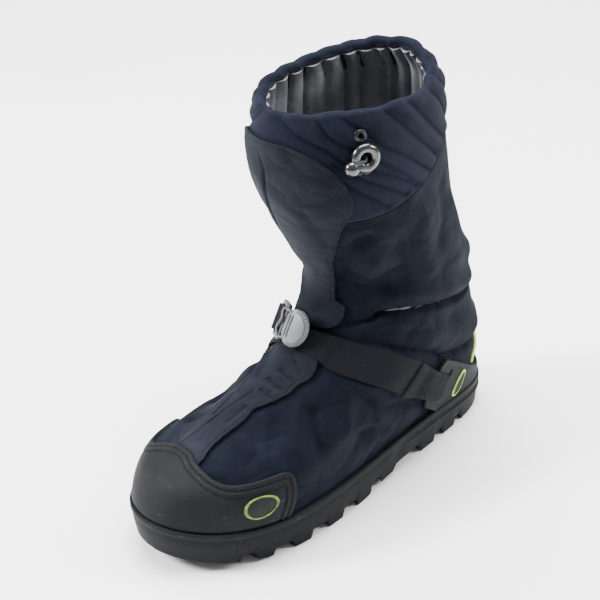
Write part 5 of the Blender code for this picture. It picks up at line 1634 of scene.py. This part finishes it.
def make_collar_cord(looks):
    sheet = Sheet()
    roll = np.radians(np.arange(0, 361, 24))
    profile = [((3.3 + 1.3 * math.cos(a)) * MM, (0.9 * math.sin(a)) * MM) for a in roll]
    sheet.grid(placed(ring_points(profile, 48), EYELET_CENTRE, 1.3 * MM), closed=True)
    # A nearly black disc inside the ring: painted shade of the hole.
    dark = [(2.6 * MM, 0.2 * MM), (0.6 * MM, 0.1 * MM), (0.01 * MM, 0.1 * MM)]
    sheet.grid(placed(ring_points(dark, 48), EYELET_CENTRE, 0.9 * MM), closed=True, look=1)
    eyelet = sheet.finish("eyelet_ring", [looks["metal"], looks["hole"]], 50.0)
    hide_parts("cord_eyelet")

    sheet = Sheet()
    roll = np.radians(np.arange(0, 361, 15))
    profile = [((7.0 + 3.4 * math.cos(a)) * MM, 3.0 * math.sin(a) * MM) for a in roll]
    sheet.grid(placed(ring_points(profile, 72), LOCK_CENTRE, 3.4 * MM), closed=True)
    lobe = [(5.4 * math.sin(a) * MM, 4.6 * math.cos(a) * MM) for a in np.radians(np.linspace(1, 179, 26))]
    shape = ring_points(lobe, 48) + np.array([-10.6, -5.6, 1.2]) * MM
    sheet.grid(placed(shape, LOCK_CENTRE, 3.4 * MM), closed=True)
    lock = sheet.finish("cord_lock_ring", [looks["lock"]], 60.0)
    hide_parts("cord_lock")

    sheet = Sheet()
    loop = smooth_path(((0.0, 1.5, -2.6), (0.2, 0.2, 1.0), (-1.5, -1.5, 3.6), (-6.2, -1.4, 5.2),
                        (-9.0, -3.4, 5.6), (-7.0, -5.0, 5.8), (-2.6, -5.0, 4.6), (1.4, -6.2, 4.2),
                        (2.8, -9.4, 1.6), (0.6, -11.4, 0.2), (-2.0, -9.6, 0.4), (-4.4, -11.2, 0.0),
                        (-6.8, -9.2, 0.2)), 90) * MM
    add_tube(sheet, placed(loop, LOCK_CENTRE, 1.6 * MM), 1.15 * MM, 12)
    end = sheet.finish("cord_knot", [looks["cord"]], 60.0)
    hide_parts("cord_end")


def make_stitching(looks, cap_edge):
    """Rows of thread on the cap's border, the cuff's seam and the edges of the flaps."""
    sheet = Sheet()
    cap_u, cap_v = cap_edge
    cap_lift = GAP + CAP_THICKNESS - 0.15 * MM
    for distance in CAP_SEWN_LINES:
        u, v = moved_sideways(cap_u, cap_v, -distance)
        keep = v > 1.15
        stitches(sheet, u[keep], v[keep], cap_lift, CAP_STITCH_PITCH, CAP_STITCH_RADIUS)
    u = np.radians(np.linspace(-36, -324, 500)) + 2 * math.pi
    keep = np.abs(np.degrees(np.arctan2(np.sin(u), np.cos(u)))) > 44
    u = u[keep]
    v = seam_section(u) - 0.16
    stitches(sheet, u, v, cloth_height(u, v) + 0.2 * MM, STITCH_PITCH, STITCH_RADIUS)
    for table, extra in ((SHAFT_FLAP, (RIDGE_SEAM,)), (VAMP_FLAP, GATHERS + FLAP_SEAMS)):
        u, v = flap_grid(table, 60, 200)
        for column, sign in ((-1, 1), (0, -1)):
            line_u, line_v = moved_sideways(u[:, column], v[:, column], sign * FLAP_SEAM_INSET)
            line_u = line_u[4:-4]
            line_v = line_v[4:-4]
            lift = flap_lift(line_u, line_v, extra) - 0.2 * MM
            stitches(sheet, line_u, line_v, lift, STITCH_PITCH, STITCH_RADIUS)
    sheet.finish("stitching", [looks["thread"]], 60.0)


# Stage

def area_light(name, place, target, size, power):
    data = bpy.data.lights.new(name, "AREA")
    data.shape = "RECTANGLE"
    data.size, data.size_y = size
    data.energy = power
    item = bpy.data.objects.new(name, data)
    bpy.context.scene.collection.objects.link(item)
    item.location = place
    item.rotation_euler = (Vector(target) - Vector(place)).to_track_quat("-Z", "Y").to_euler()


def make_stage():
    mesh = bpy.data.meshes.new("floor")
    corners = [(x * FLOOR_REACH, y * FLOOR_REACH, 0) for x, y in ((-1, -1), (1, -1), (1, 1), (-1, 1))]
    mesh.from_pydata(corners, [], [(0, 1, 2, 3)])
    floor = bpy.data.objects.new("floor", mesh)
    bpy.context.scene.collection.objects.link(floor)
    pale = Look("floor_paint", 0.85)
    pale.colour(pale.ramp(pale.noise(3.0, 2.0), ((0.3, (0.90, 0.90, 0.90)), (0.7, (0.93, 0.93, 0.93)))))
    mesh.materials.append(pale.material)
    world = bpy.data.worlds.new("studio")
    world.use_nodes = True
    world.node_tree.nodes["Background"].inputs["Color"].default_value = (1.0, 1.0, 1.0, 1.0)
    world.node_tree.nodes["Background"].inputs["Strength"].default_value = WORLD_STRENGTH
    bpy.context.scene.world = world
    for light in LIGHTS:
        area_light(*light)


def make_camera():
    azimuth = math.radians(CAMERA_AZIMUTH)
    elevation = math.radians(CAMERA_ELEVATION)
    roll = math.radians(CAMERA_ROLL)
    back = Vector((math.sin(azimuth) * math.cos(elevation), -math.cos(azimuth) * math.cos(elevation),
                   math.sin(elevation)))
    level = Vector((0, 0, 1)).cross(back).normalized()
    upright = back.cross(level)
    right = level * math.cos(roll) + upright * math.sin(roll)
    up = upright * math.cos(roll) - level * math.sin(roll)
    data = bpy.data.cameras.new("camera")
    data.lens = CAMERA_LENS
    data.sensor_width = SENSOR_WIDTH
    data.sensor_fit = "HORIZONTAL"
    item = bpy.data.objects.new("camera", data)
    bpy.context.scene.collection.objects.link(item)
    place = Vector(CAMERA_TARGET) + back * CAMERA_DISTANCE
    place += right * CAMERA_SHIFT_RIGHT + up * CAMERA_SHIFT_UP
    item.matrix_world = Matrix.Translation(place) @ Matrix((right, up, back)).transposed().to_4x4()
    bpy.context.scene.camera = item


def build():
    looks = make_looks()
    make_sole(looks)
    make_insole(looks)
    make_upper(looks)
    make_cuff(looks)
    cap_edge = make_toe_cap(looks)
    make_counter(looks)
    make_flap("shaft_flap_cloth", SHAFT_FLAP, 90, 200, "shaft_flap", (RIDGE_SEAM,), looks)
    make_flap("vamp_flap_cloth", VAMP_FLAP, 80, 120, "vamp_flap", GATHERS + FLAP_SEAMS, looks)
    make_strap(1, "webbing_lateral", "strap_lateral", looks)
    make_strap(-1, "webbing_medial", "strap_medial", looks)
    make_buckle_frame(looks)
    make_buckle_lever(looks)
    make_badge("toe_badge_oval", TOE_BADGE, GAP + CAP_THICKNESS, "toe_badge", looks["badge"],
               looks["lime_worn"])
    heel_base = ANCHOR_LIFT + ANCHOR_THICKNESS - 0.5 * MM
    make_badge("heel_badge_oval", HEEL_BADGE, heel_base, "heel_badge", looks["badge"],
               looks["lime"])
    make_piping(looks)
    make_collar_cord(looks)
    make_stitching(looks, cap_edge)


make_camera()
make_stage()
build()
